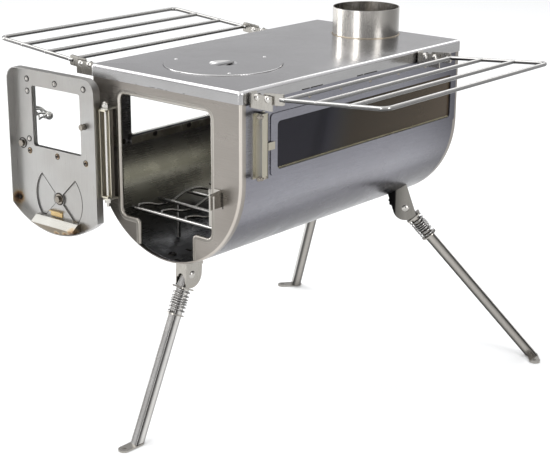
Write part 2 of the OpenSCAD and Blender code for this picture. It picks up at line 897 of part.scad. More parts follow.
// Screw places on the door's skin, as X and Z: round the window and beside the latch
function door_screw_places() =
    let (sx = door_window_w / 2 + door_screw_inset, sz = door_window_h / 2 + door_screw_inset)
    [
        [-sx, door_window_mid + sz], [0, door_window_mid + sz], [sx, door_window_mid + sz],
        [-sx, door_window_mid - sz], [0, door_window_mid - sz], [sx, door_window_mid - sz],
        [-sx, door_window_mid], [sx, door_window_mid + sz * 2 / 3], [sx, door_window_mid - sz * 2 / 3]
    ];

module door_panel() {
    color(steel) on_door() difference() {
        upright(door_face_y, door_back_y) translate([0, axis_z]) door_outline(0);
        upright(door_floor_y, door_back_y + over) translate([0, axis_z]) door_outline(door_sheet);
        upright(door_face_y - over, door_floor_y + over) {
            translate([0, door_window_mid]) rounded_rect(door_window_w, door_window_h, door_window_corner_r);
            translate([0, damper_z]) damper_holes();
        }
        for (place = door_screw_places())
            translate([place[0], door_floor_y + over, place[1]])
                rotate([90, 0, 0]) cylinder(h = door_sheet + 2 * over, r = door_screw_d / 2);
        translate([0, door_floor_y + over, damper_z])
            rotate([90, 0, 0]) cylinder(h = door_sheet + 2 * over, r = damper_bolt_d / 2);
        translate([latch_x, door_floor_y + over, latch_z])
            rotate([90, 0, 0]) cylinder(h = door_sheet + 2 * over, r = latch_bolt_d / 2);
    }
}

module door_glass() {
    color(glass_tint) on_door()
        upright(door_face_y - glass_play - door_glass_t, door_face_y - glass_play)
            translate([0, door_window_mid])
                square([door_window_w + 2 * glass_lap, door_window_h + 2 * glass_lap], center = true);
}

// A pressed frame on the door's outer face: a flange under the screws and a raised lip over the glass
module door_glass_frame() {
    lip_w = door_window_w + 2 * glass_lap + 2 * glass_play;
    lip_h = door_window_h + 2 * glass_lap + 2 * glass_play;
    outer_w = door_window_w + 2 * (door_screw_inset + glass_frame_lip / 2);
    outer_h = door_window_h + 2 * (door_screw_inset + glass_frame_lip / 2);
    raised = door_glass_t + 2 * glass_play;
    t = glass_frame_sheet;
    corner = 2 * glass_frame_sheet;
    color(steel) on_door() translate([0, 0, door_window_mid]) difference() {
        union() {
            upright(door_face_y - t, door_face_y) rounded_rect(outer_w, outer_h, 2 * corner);
            upright(door_face_y - raised - t, door_face_y)
                rounded_rect(lip_w + 2 * t, lip_h + 2 * t, corner);
        }
        upright(door_face_y - raised, door_face_y + over) square([lip_w, lip_h], center = true);
        upright(door_face_y - raised - t - over, door_face_y)
            rounded_rect(door_window_w, door_window_h, door_window_corner_r);
        translate([0, 0, -door_window_mid]) for (place = door_screw_places())
            translate([place[0], door_face_y + over, place[1]])
                rotate([90, 0, 0]) cylinder(h = t + 2 * over, r = door_screw_d / 2);
    }
}

module door_screws() {
    color(bright_steel) on_door() for (i = [0:len(door_screw_places()) - 1]) {
        place = door_screw_places()[i];
        tail = i == 6 ? stud_tail : screw_tail;
        front = door_face_y - glass_frame_sheet;
        translate([place[0], front, place[1]]) {
            rotate([90, 0, 0]) dome(door_screw_d / 2 + screw_head_h, screw_head_h);
            rotate([-90, 0, 0]) cylinder(h = door_floor_y - front + tail, r = door_screw_d / 2);
        }
    }
}

// A folded channel on the door's edge with a bored plate at each end for the rod
module door_hinge_channel() {
    half = channel_w / 2;
    low = hinge_mid_z - hinge_length / 2;
    color(bright_steel) on_door() translate([-hinge_x, hinge_y, low]) difference() {
        union() {
            difference() {
                translate([-half, -half, 0]) cube([channel_w, channel_w - channel_sheet, hinge_length]);
                translate([-half + channel_sheet, -half + channel_sheet, -over])
                    cube([channel_w - 2 * channel_sheet, channel_w, hinge_length + 2 * over]);
            }
            for (z = [0, hinge_length - channel_end_t])
                translate([-half, -half, z]) cube([channel_w, channel_w - channel_sheet, channel_end_t]);
            translate([half - channel_sheet, -channel_sheet, 0])
                cube([hinge_x - door_half - half + channel_sheet, channel_sheet, hinge_length]);
        }
        translate([0, 0, -over]) cylinder(h = hinge_length + 2 * over, r = rod_r + pin_gap);
    }
}

// Two lugs on the front panel that hold the rod's ends
module door_hinge_ears() {
    low = hinge_mid_z - hinge_length / 2;
    color(bright_steel) in_frame()
        for (z = [low - gap - ear_t, low + hinge_length + gap])
            translate([-hinge_x, hinge_y, z]) difference() {
                union() {
                    cylinder(h = ear_t, r = ear_r);
                    translate([-ear_r, 0, 0]) cube([2 * ear_r, hinge_reach, ear_t]);
                }
                translate([0, 0, -over]) cylinder(h = ear_t + 2 * over, r = rod_r + pin_gap);
            }
}

module door_hinge_rod() {
    low = hinge_mid_z - hinge_length / 2 - gap - ear_t;
    high = low + hinge_length + 2 * gap + 2 * ear_t;
    color(bright_steel) in_frame() translate([-hinge_x, hinge_y, 0]) {
        translate([0, 0, low - rod_tail]) cylinder(h = high - low + rod_tail + nut_h, r = rod_r);
        difference() {
            translate([0, 0, low - nut_h]) cylinder(h = nut_h, r = nut_af / sqrt(3), $fn = 6);
            translate([0, 0, low - nut_h - over]) cylinder(h = nut_h + 2 * over, r = rod_r / 2);
        }
    }
}

module door_hinge_cap_nut() {
    top = hinge_mid_z + hinge_length / 2 + gap + ear_t;
    color(bright_steel) in_frame() translate([-hinge_x, hinge_y, top]) difference() {
        union() {
            cylinder(h = nut_h, r = nut_af / sqrt(3), $fn = 6);
            translate([0, 0, nut_h]) dome(nut_af / 2, nut_af / 2);
        }
        translate([0, 0, -over]) cylinder(h = nut_h + over, r = rod_r);
    }
}

// A folded lip that fills the ash slot when the door is closed
module door_ash_lip() {
    front = door_floor_y;
    back = door_back_y + ash_lip_reach;
    low_r = ash_lip_r;
    color(dark_steel) on_door() difference() {
        upright(front, back) translate([0, axis_z]) intersection() {
            circle(low_r);
            translate([-ash_lip_half, -body_r]) square([2 * ash_lip_half, ash_lip_top - axis_z + body_r]);
        }
        upright(front - over, back - ash_lip_sheet) translate([0, axis_z]) intersection() {
            circle(low_r - ash_lip_sheet);
            translate([-ash_lip_half + ash_lip_sheet, -body_r])
                square([2 * (ash_lip_half - ash_lip_sheet), ash_lip_top - axis_z + body_r - ash_lip_sheet]);
        }
    }
}

module damper_stop() {
    color("#a58b5e") on_door()
        translate([-stop_w / 2 + damper_bolt_d, 0, damper_z - stop_drop - stop_h / 2]) {
            translate([0, door_floor_y, 0]) cube([stop_w, door_sheet, stop_h]);
            translate([0, door_floor_y, stop_h - door_sheet]) cube([stop_w, stop_out, door_sheet]);
        }
}

module damper_spindle() {
    color(bright_steel) on_door() translate([0, 0, damper_z]) {
        outer = door_face_y - damper_sheet - 2 * gap;
        translate([0, outer, 0]) rotate([-90, 0, 0])
            cylinder(h = door_floor_y - outer + nut_h, r = damper_bolt_d / 2);
        translate([0, outer, 0]) rotate([90, 0, 0]) dome(damper_bolt_d, damper_bolt_d / 2);
        translate([0, door_floor_y + nut_h, 0]) rotate([90, 0, 0]) difference() {
            cylinder(h = nut_h, r = nut_af / sqrt(3), $fn = 6);
            translate([0, 0, -over]) cylinder(h = nut_h + 2 * over, r = damper_bolt_d / 2);
        }
    }
}

// Two blades on a hub with a folded finger grip, turning against the door's outer face
module damper_plate() {
    color(steel) on_door() translate([0, door_face_y - gap, damper_z]) {
        difference() {
            upright(-damper_sheet, 0) {
                for (turn = [0, 180]) rotate(turn) sector(damper_r + damper_lap, damper_half_angle + damper_lap_angle);
                circle(damper_hub_r + damper_lap);
            }
            translate([0, over, 0]) rotate([90, 0, 0])
                cylinder(h = damper_sheet + 2 * over, r = damper_bolt_d / 2 + pin_gap);
        }
        translate([damper_r - damper_grip, -damper_sheet - damper_grip, -damper_grip / 2])
            cube([damper_sheet, damper_grip + damper_sheet / 2, damper_grip]);
    }
}

// Latch

latch_face_y = door_face_y - glass_frame_sheet - gap;

module latch_bolt() {
    outer = latch_face_y - latch_sheet - gap;
    color(bright_steel) on_door() translate([latch_x, 0, latch_z]) {
        translate([0, outer, 0]) rotate([-90, 0, 0])
            cylinder(h = door_floor_y - outer + nut_h, r = latch_bolt_d / 2);
        translate([0, outer, 0]) rotate([90, 0, 0]) dome(latch_bolt_d, latch_bolt_d / 2);
        translate([0, latch_face_y + gap, 0]) rotate([-90, 0, 0])
            cylinder(h = door_face_y - latch_face_y - gap, r = latch_bolt_d);
        translate([0, door_floor_y + nut_h, 0]) rotate([90, 0, 0]) difference() {
            cylinder(h = nut_h, r = nut_af / sqrt(3), $fn = 6);
            translate([0, 0, -over]) cylinder(h = nut_h + 2 * over, r = latch_bolt_d / 2);
        }
    }
}

// A flat lever with a tongue for the catch and an arm folded out to carry the handle
module latch_lever() {
    arm = [grip_root_x - latch_x, grip_z - latch_z];
    arm_w = 1.2 * tongue_w;
    color(bright_steel) on_door() {
        difference() {
            translate([latch_x, 0, latch_z]) upright(latch_face_y - latch_sheet, latch_face_y) {
                circle(latch_hub_r);
                rotate(tongue_angle) {
                    translate([0, -tongue_w / 2]) square([tongue_l - tongue_w / 2, tongue_w]);
                    translate([tongue_l - tongue_w / 2, 0]) circle(tongue_w / 2);
                }
                rotate(atan2(arm[1], arm[0])) translate([0, -arm_w / 2]) square([norm(arm), arm_w]);
                translate(arm) circle(arm_w / 2);
            }
            translate([latch_x, latch_face_y + over, latch_z]) rotate([90, 0, 0])
                cylinder(h = latch_sheet + 2 * over, r = latch_bolt_d / 2 + pin_gap);
        }
        translate([grip_root_x, grip_y - ferrule_r, grip_z - arm_w / 2])
            cube([latch_sheet, latch_face_y - grip_y + ferrule_r, arm_w]);
    }
}

// Five wires twisted into a basket between the root ferrule and the ball at the tip
function strand(turn) = [
    for (i = [-1:grip_rings + 1])
        let (
            s = max(0, min(1, i / grip_rings)),
            straight = i < 0 ? grip_wire - gap : i > grip_rings ? gap - grip_wire : 0,
            r = grip_neck_r + (grip_r - grip_wire / 2 - grip_neck_r) * pow(sin(180 * s), 2),
            a = turn + grip_twist * (s - sin(360 * s) / 360 * 180 / PI / 2)
        )
        [grip_root_x - ferrule_l - grip_wire - s * (grip_length - 2 * ferrule_l - 2 * grip_wire) + straight,
         grip_y + r * cos(a), grip_z + r * sin(a)]
];

module spiral_handle() {
    tip_x = grip_root_x - grip_length + ferrule_l;
    color(bright_steel) on_door() {
        translate([grip_root_x - ferrule_l, grip_y, grip_z])
            rotate([0, 90, 0]) cylinder(h = ferrule_l, r = ferrule_r);
        for (i = [0:grip_strands - 1])
            wire_form(strand(360 * i / grip_strands), grip_wire / 2, 6, [0, 0, 1]);
        translate([tip_x - ferrule_l / 2, grip_y, grip_z]) rotate([0, 90, 0])
            rotate_extrude() intersection() {
                circle(ferrule_r);
                translate([0, -ferrule_r]) square([ferrule_r, ferrule_r + ferrule_l / 2]);
            }
    }
}

// A plate standing out of the front panel, open below, whose hook holds the tongue
module latch_catch() {
    low = catch_top - catch_h;
    tongue_back = latch_face_y + gap;
    tongue_front = latch_face_y - latch_sheet - gap;
    color(bright_steel) in_frame() {
        translate([catch_x - catch_t / 2, 0, 0]) difference() {
            sideways(0, catch_t) polygon([
                [0, low], [tongue_front - catch_hook, low],
                [tongue_front - catch_hook, catch_top - catch_slope], [0, catch_top]
            ]);
            translate([-over, tongue_front, low - over])
                cube([catch_t + 2 * over, tongue_back - tongue_front, catch_h + over - catch_bridge - catch_slope]);
        }
        translate([catch_x - catch_foot, -sheet, low]) cube([catch_foot, sheet, catch_h]);
    }
}

// Legs: each is drawn in its own plane, then set at its pivot

module at_pivot(pivot, plan) {
    in_frame() translate(pivot) rotate([0, 0, plan]) children();
}

// Tilts from the plane's upright to the leg's own line; the leg runs along -Z
module along_leg(lean) {
    rotate([0, -lean, 0]) children();
}

// The bracket's side: a flat seat for the collar at each end of the swing, round between them
module flange_outline() {
    turn = bracket_turn;
    seat_at = [seat_dist * sin(turn), -seat_dist * cos(turn)];
    run = (bracket_front_u - seat_at[0]) / cos(turn);
    difference() {
        union() {
            intersection() {
                circle(seat_dist);
                translate([-seat_dist, -seat_dist]) square([seat_dist + seat_at[0], seat_dist]);
            }
            polygon([
                [0, 0], seat_at, [bracket_front_u, seat_at[1] + run * sin(turn)], [bracket_front_u, 0]
            ]);
            translate([-seat_dist, 0]) square([seat_dist + bracket_front_u, 2 * pivot_gap]);
            translate([-seat_dist, collar_w / 2 + lobe]) circle(lobe);
        }
        circle(leg_rivet_r + pin_gap);
    }
}

module leg_bracket(pivot, plan, lean) {
    tilt = lean - bracket_turn;
    color(steel) difference() {
        at_pivot(pivot, plan) rotate([0, -tilt, 0]) {
            for (side = [-1, 1])
                translate([0, side * (bracket_outer - bracket_sheet) / 2, 0])
                    upright(-bracket_sheet / 2, bracket_sheet / 2) flange_outline();
            difference() {
                translate([bracket_front_u - bracket_sheet, -bracket_outer / 2, -bracket_web_end])
                    cube([bracket_sheet, bracket_outer, 2 * pivot_gap + bracket_web_end]);
                translate([bracket_front_u - bracket_sheet - over, 0, -bracket_web_end])
                    rotate([0, 90, 0]) cylinder(h = bracket_sheet + 2 * over, r = bracket_arch_r);
            }
        }
        in_frame() upright(-body_length, 2 * body_length) translate([0, axis_z]) trough(body_r, body_r);
    }
}

module leg_rivet(pivot, plan) {
    color(bright_steel) at_pivot(pivot, plan) for (side = [0, 1]) rotate([0, 0, 180 * side]) {
        rotate([90, 0, 0]) cylinder(h = bracket_outer / 2, r = leg_rivet_r);
        translate([0, -bracket_outer / 2, 0]) rotate([90, 0, 0]) dome(rivet_head_r, rivet_head_h);
    }
}

module leg_tube_form(pivot, plan, lean) {
    length = pivot[2] / cos(lean) + leg_tube;
    color(bright_steel) difference() {
        at_pivot(pivot, plan) along_leg(lean) difference() {
            translate([0, 0, -length]) linear_extrude(length + leg_head) difference() {
                rounded_rect(leg_tube, leg_tube, leg_corner_r);
                rounded_rect(leg_tube - 2 * leg_wall, leg_tube - 2 * leg_wall, leg_corner_r - leg_wall);
            }
            translate([0, leg_tube, 0]) rotate([90, 0, 0]) cylinder(h = 2 * leg_tube, r = leg_rivet_r + pin_gap);
        }
        at_pivot([pivot[0], pivot[1], 0], plan)
            translate([-leg_tube, -leg_tube, foot_t - 2 * leg_tube])
                cube([leg_run(pivot, lean) + 3 * leg_tube, 2 * leg_tube, 2 * leg_tube]);
    }
}

// The front foot lies along its leg; the rear feet lie across theirs, with the peg hole to the front
module foot_plate(pivot, plan, lean, turn) {
    run = leg_run(pivot, lean);
    color(bright_steel) at_pivot([pivot[0], pivot[1], 0], plan) translate([run, 0, 0]) rotate([0, 0, turn])
        linear_extrude(foot_t) difference() {
            union() {
                translate([foot_tip - foot_length + foot_width, 0]) circle(foot_width / 2);
                translate([foot_tip, 0]) circle(foot_width / 2);
                translate([foot_tip - foot_length + foot_width, -foot_width / 2])
                    square([foot_length - foot_width, foot_width]);
            }
            translate([foot_tip, 0]) circle(peg_hole_d / 2);
        }
}

// The spring's middle line: straight ends square to the collar and the seat
function spring_line() =
    let (
        rings = 8 * spring_curls,
        top = -collar_far - gap,
        low = -seat_near + gap,
        wound_top = top - spring_wire,
        wound_low = low + spring_wire
    )
    concat(
        [[spring_r, 0, top], [spring_r, 0, (top + wound_top) / 2]],
        [for (i = [0:rings])
            let (s = i / rings)
            [spring_r * cos(360 * spring_curls * s), spring_r * sin(360 * spring_curls * s),
             wound_top + (wound_low - wound_top) * s]],
        [[spring_r, 0, (low + wound_low) / 2], [spring_r, 0, low]]
    );

module leg_spring(pivot, plan, lean) {
    color(bright_steel) at_pivot(pivot, plan) along_leg(lean)
        wire_form(spring_line(), spring_wire / 2, 6, [1, 0, 0]);
}

module leg_collar(pivot, plan, lean) {
    hole = leg_tube + 2 * gap;
    color(bright_steel) at_pivot(pivot, plan) along_leg(lean)
        translate([0, 0, -collar_far]) linear_extrude(collar_t) difference() {
            rounded_rect(collar_w, collar_w, leg_corner_r);
            rounded_rect(hole, hole, leg_corner_r + gap);
        }
}

module leg_seat(pivot, plan, lean) {
    hole = leg_tube + 2 * pin_gap;
    color(bright_steel) at_pivot(pivot, plan) along_leg(lean)
        translate([0, 0, -seat_near - seat_t]) linear_extrude(seat_t) difference() {
            circle(seat_d / 2);
            rounded_rect(hole, hole, leg_corner_r + pin_gap);
        }
}

rear_left_pivot = [-rear_pivot[0], rear_pivot[1], rear_pivot[2]];
front_plan = -90;
rear_right_plan = rear_leg_plan;
rear_left_plan = 180 - rear_leg_plan;

// Least gaps of the wound pieces to themselves, and the places that joints and mounts use
echo("leg spring least gap to itself", least_gap(spring_line(), spring_wire, 6));
echo("handle strand gap at its neck", 2 * grip_neck_r * sin(180 / grip_strands) - grip_wire);
echo("frame_y", frame_y);
echo("front pivot", front_pivot + [0, frame_y, 0], "rear pivot", rear_pivot + [0, frame_y, 0]);
echo("rack pivot", [rack_pivot_x, 0, rack_pivot_z], "hinge", [-hinge_x, hinge_y + frame_y, hinge_mid_z]);
echo("flue", [0, flue_y + frame_y, top_height], "lid", [0, lid_y + frame_y, top_height]);

firebox_shell();
front_panel();
back_panel();
cooktop_plate();
flue_collar();
in_frame() window_frame();  // right_window_frame
in_frame() on_left() window_frame();  // left_window_frame
in_frame() window_glass();  // right_window_glass
in_frame() on_left() window_glass();  // left_window_glass
in_frame() glass_strips();  // right_glass_strips
in_frame() on_left() glass_strips();  // left_glass_strips
in_frame() window_keeper();  // right_window_keeper
in_frame() on_left() window_keeper();  // left_window_keeper
window_screws();
in_frame() rack_bracket();  // right_rack_brackets
in_frame() on_left() rack_bracket();  // left_rack_brackets
in_frame() rack_rivet_set();  // right_rack_rivets
in_frame() on_left() rack_rivet_set();  // left_rack_rivets
latch_catch();
door_hinge_ears();
door_hinge_rod();
door_hinge_cap_nut();
door_panel();
door_glass();
door_glass_frame();
door_screws();
door_hinge_channel();
door_ash_lip();
damper_stop();
damper_spindle();
latch_bolt();
damper_plate();
latch_lever();
spiral_handle();
in_frame() rack();  // right_rack
in_frame() on_left() rack();  // left_rack
burner_lid();
log_grate();

leg_bracket(front_pivot, front_plan, front_leg_lean);  // front_leg_bracket
leg_rivet(front_pivot, front_plan);  // front_leg_rivet
leg_tube_form(front_pivot, front_plan, front_leg_lean);  // front_leg_tube
foot_plate(front_pivot, front_plan, front_leg_lean, 0);  // front_leg_foot
leg_spring(front_pivot, front_plan, front_leg_lean);  // front_leg_spring
leg_collar(front_pivot, front_plan, front_leg_lean);  // front_leg_collar
leg_seat(front_pivot, front_plan, front_leg_lean);  // front_leg_seat

leg_bracket(rear_pivot, rear_right_plan, rear_leg_lean);  // rear_right_leg_bracket
leg_rivet(rear_pivot, rear_right_plan);  // rear_right_leg_rivet
leg_tube_form(rear_pivot, rear_right_plan, rear_leg_lean);  // rear_right_leg_tube
foot_plate(rear_pivot, rear_right_plan, rear_leg_lean, -90);  // rear_right_leg_foot
leg_spring(rear_pivot, rear_right_plan, rear_leg_lean);  // rear_right_leg_spring
leg_collar(rear_pivot, rear_right_plan, rear_leg_lean);  // rear_right_leg_collar
leg_seat(rear_pivot, rear_right_plan, rear_leg_lean);  // rear_right_leg_seat

leg_bracket(rear_left_pivot, rear_left_plan, rear_leg_lean);  // rear_left_leg_bracket
leg_rivet(rear_left_pivot, rear_left_plan);  // rear_left_leg_rivet
leg_tube_form(rear_left_pivot, rear_left_plan, rear_leg_lean);  // rear_left_leg_tube
foot_plate(rear_left_pivot, rear_left_plan, rear_leg_lean, 90);  // rear_left_leg_foot
leg_spring(rear_left_pivot, rear_left_plan, rear_leg_lean);  // rear_left_leg_spring
leg_collar(rear_left_pivot, rear_left_plan, rear_leg_lean);  // rear_left_leg_collar
leg_seat(rear_left_pivot, rear_left_plan, rear_leg_lean);  // rear_left_leg_seat
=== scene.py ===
import json
from math import acos, atan2, cos, degrees, pi, radians, sin, sqrt

import bmesh
import bpy
from mathutils import Matrix, Vector


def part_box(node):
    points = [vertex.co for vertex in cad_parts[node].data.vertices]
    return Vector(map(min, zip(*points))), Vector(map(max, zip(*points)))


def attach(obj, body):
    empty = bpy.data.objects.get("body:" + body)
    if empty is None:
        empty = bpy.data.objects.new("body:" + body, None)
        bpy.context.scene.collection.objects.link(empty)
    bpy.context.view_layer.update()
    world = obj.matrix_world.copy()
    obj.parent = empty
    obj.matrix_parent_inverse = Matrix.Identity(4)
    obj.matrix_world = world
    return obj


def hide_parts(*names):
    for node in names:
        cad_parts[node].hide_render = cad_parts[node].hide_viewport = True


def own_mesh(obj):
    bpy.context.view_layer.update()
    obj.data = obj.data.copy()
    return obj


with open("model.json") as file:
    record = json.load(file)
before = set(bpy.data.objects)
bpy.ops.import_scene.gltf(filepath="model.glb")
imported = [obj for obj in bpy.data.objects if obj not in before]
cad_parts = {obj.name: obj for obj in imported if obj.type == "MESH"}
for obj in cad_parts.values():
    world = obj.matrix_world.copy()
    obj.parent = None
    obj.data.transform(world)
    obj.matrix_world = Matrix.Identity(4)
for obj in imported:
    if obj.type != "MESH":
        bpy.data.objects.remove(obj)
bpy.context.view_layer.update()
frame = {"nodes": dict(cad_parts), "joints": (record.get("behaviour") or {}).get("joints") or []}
nodes = frame["nodes"]
joints = {joint["name"]: joint for joint in frame["joints"]}
mm = 0.001

# Places are given from the middle of the front panel's face at the cooktop's level: right, back, up
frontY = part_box("front_panel")[0][1]
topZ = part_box("cooktop_plate")[1][2]


def at(x, y, z):
    return Vector((x * mm, frontY + y * mm, topZ + z * mm))


def measured(place):
    # a place in metres, given back in the script's own millimetres
    return place[0] / mm, (place[1] - frontY) / mm, (place[2] - topZ) / mm


def boxAround(name):
    return [measured(corner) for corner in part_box(name)]


# The door rests open, so a place on it is given closed and carried round by the hinge's whole swing
doorJoint = joints["door_hinge"]
hinge = Vector(doorJoint["pos_m"])
doorTurn = (Matrix.Translation(hinge)
            @ Matrix.Rotation(radians(-doorJoint["range_deg"][0]), 4, Vector(doorJoint["axis"]))
            @ Matrix.Translation(-hinge))


def onDoor(x, y, z):
    return doorTurn @ at(x, y, z)


def closedPlace(joint):
    # where a joint on the door lies when the door is closed
    return measured(doorTurn.inverted() @ Vector(joints[joint]["pos_m"]))


# The end panels give the body's width and the round floor's axis
panelLow, panelHigh = boxAround("front_panel")
bodyHalf = panelHigh[0]
floorAxis = panelLow[2] + bodyHalf


# Materials

def linear(value):
    value = value / 255
    return value / 12.92 if value <= 0.04045 else ((value + 0.055) / 1.055) ** 2.4


def colour(hexText):
    return tuple(linear(int(hexText[i:i + 2], 16)) for i in (1, 3, 5)) + (1.0,)


def addNode(tree, kind, settings=None, links=None):
    # a setting is a socket by its name or number, an option of the node, or the stops of a colour ramp
    node = tree.nodes.new(kind)
    for key, value in (settings or {}).items():
        if key == "stops":
            elements = node.color_ramp.elements
            while len(elements) < len(value):
                elements.new(0.5)
            for element, (place, hexText) in zip(elements, value):
                element.position = place
                element.color = colour(hexText)
        elif isinstance(key, int) or key in node.inputs.keys():
            node.inputs[key].default_value = value
        else:
            setattr(node, key, value)
    for key, source in (links or {}).items():
        tree.links.new(source, node.inputs[key])
    return node


def startMaterial(name):
    material = bpy.data.materials.new(name)
    material.use_nodes = True
    tree = material.node_tree
    return material, tree, addNode(tree, "ShaderNodeTexCoord").outputs["Object"]


def mottle(tree, coords, sizes, detail=3.0, rough=0.55):
    # an uneven pattern whose marks have these sizes in millimetres
    scale = [1 / (size * mm) for size in sizes]
    spread = addNode(tree, "ShaderNodeMapping", {"Scale": scale}, {"Vector": coords})
    return addNode(tree, "ShaderNodeTexNoise", {"Scale": 1.0, "Detail": detail, "Roughness": rough},
                   {"Vector": spread.outputs["Vector"]}).outputs["Fac"]


def toned(tree, source, low, high, tones):
    # the tones along a measure that runs from low to high
    share = addNode(tree, "ShaderNodeMapRange", {"From Min": low, "From Max": high}, {"Value": source})
    ramp = addNode(tree, "ShaderNodeValToRGB", {"stops": tones}, {"Fac": share.outputs["Result"]})
    return ramp.outputs["Color"]


def paintedShadeAlong(tree, base, source, low, high, tones):
    # the base multiplied by the tones along a measure, which paints shade onto it
    return addNode(tree, "ShaderNodeMix", {"data_type": "RGBA", "blend_type": "MULTIPLY", 0: 1.0},
                   {6: base, 7: toned(tree, source, low, high, tones)}).outputs[2]


def rubbed(tree, coords, base, look):
    # painted highlight and shade across each face, measured in the leg's own axes: nought down the middle of
    # each face and one at its corners
    own = addNode(tree, "ShaderNodeMapping", {
        "vector_type": "TEXTURE", "Location": look["tube"].translation, "Rotation": look["tube"].to_euler()},
        {"Vector": coords})
    both = addNode(tree, "ShaderNodeVectorMath", {"operation": "ABSOLUTE"}, {0: own.outputs["Vector"]})
    away = addNode(tree, "ShaderNodeSeparateXYZ", links={0: both.outputs["Vector"]})
    offset = addNode(tree, "ShaderNodeMath", {"operation": "MINIMUM"},
                     {0: away.outputs["X"], 1: away.outputs["Y"]})
    return paintedShadeAlong(tree, base, offset.outputs[0], 0.0, look["halfWidth"] * mm, look["rub"])


def paintedWallBands(tree, coords, base, bands, wander=20):
    # the firebox's inner face, with light and shade painted in bands up the wall: a bright band across the
    # middle, darker above and below
    lowest, highest = bands[0][0], bands[-1][0]
    place = addNode(tree, "ShaderNodeVectorMath", {"operation": "SUBTRACT", 1: (0, 0, at(0, 0, floorAxis).z)},
                    {0: coords}).outputs["Vector"]
    flat = addNode(tree, "ShaderNodeVectorMath", {"operation": "MULTIPLY", 1: (1, 0, 1)}, {0: place})
    outward = addNode(tree, "ShaderNodeVectorMath", {"operation": "DOT_PRODUCT"}, {
        0: flat.outputs["Vector"], 1: addNode(tree, "ShaderNodeTexCoord").outputs["Normal"]})
    inside = addNode(tree, "ShaderNodeMapRange", {
        "From Min": -0.02, "From Max": 0.0, "To Min": 1.0, "To Max": 0.0},
        {"Value": outward.outputs["Value"]})
    height = addNode(tree, "ShaderNodeSeparateXYZ", links={0: coords}).outputs["Z"]
    uneven = mottle(tree, coords, (500, 200, 500), 0.0)
    drift = addNode(tree, "ShaderNodeMath", {"operation": "MULTIPLY_ADD", 1: wander * mm},
                    {0: uneven, 2: height})
    tones = [((z - lowest) / (highest - lowest), tone) for z, tone in bands]
    tint = toned(tree, drift.outputs[0], at(0, 0, lowest).z, at(0, 0, highest).z, tones)
    return addNode(tree, "ShaderNodeMix", {"data_type": "RGBA"},
                   {0: inside.outputs["Result"], 6: base, 7: tint}).outputs[2]


def burnAndShadowSpot(tree, coords, base, rough, spot):
    # the colours steel takes round a weld: straw outside, then bronze, and nearly black in the middle; the
    # same spot also paints a shadow
    place, size, middle = spot
    radius = size * mm
    away = addNode(tree, "ShaderNodeVectorMath", {"operation": "DISTANCE", 1: place}, {0: coords})
    edge = addNode(tree, "ShaderNodeMath", {"operation": "MULTIPLY_ADD", 1: 0.5 * radius}, {
        0: mottle(tree, coords, (2.381, 2.381, 2.381), 2.0, 0.6), 2: away.outputs["Value"]}).outputs[0]
    tint = toned(tree, edge, 0.25 * radius, 1.25 * radius, [
        (0.0, middle), (0.28, "#4d3b2d"), (0.5, "#86694c"), (0.72, "#b19c7a"), (1.0, "#b5b1a9")])
    keep = addNode(tree, "ShaderNodeMapRange", {
        "From Min": 0.85 * radius, "From Max": 1.25 * radius, "To Min": 0.85, "To Max": 0.0},
        {"Value": edge}).outputs["Result"]
    base = addNode(tree, "ShaderNodeMix", {"data_type": "RGBA"}, {0: keep, 6: base, 7: tint}).outputs[2]
    dull = addNode(tree, "ShaderNodeMath", {"operation": "MULTIPLY_ADD", 1: 0.22}, {0: keep, 2: rough})
    return base, dull.outputs[0]


# Marks too wide to follow the grain, in millimetres: the film of handling, worn patches and hand dents
patches = {"film": 111, "worn": 32.3, "dent": 143}
grainDepth = 0.04  # mm, how deep the grain is drawn at full strength


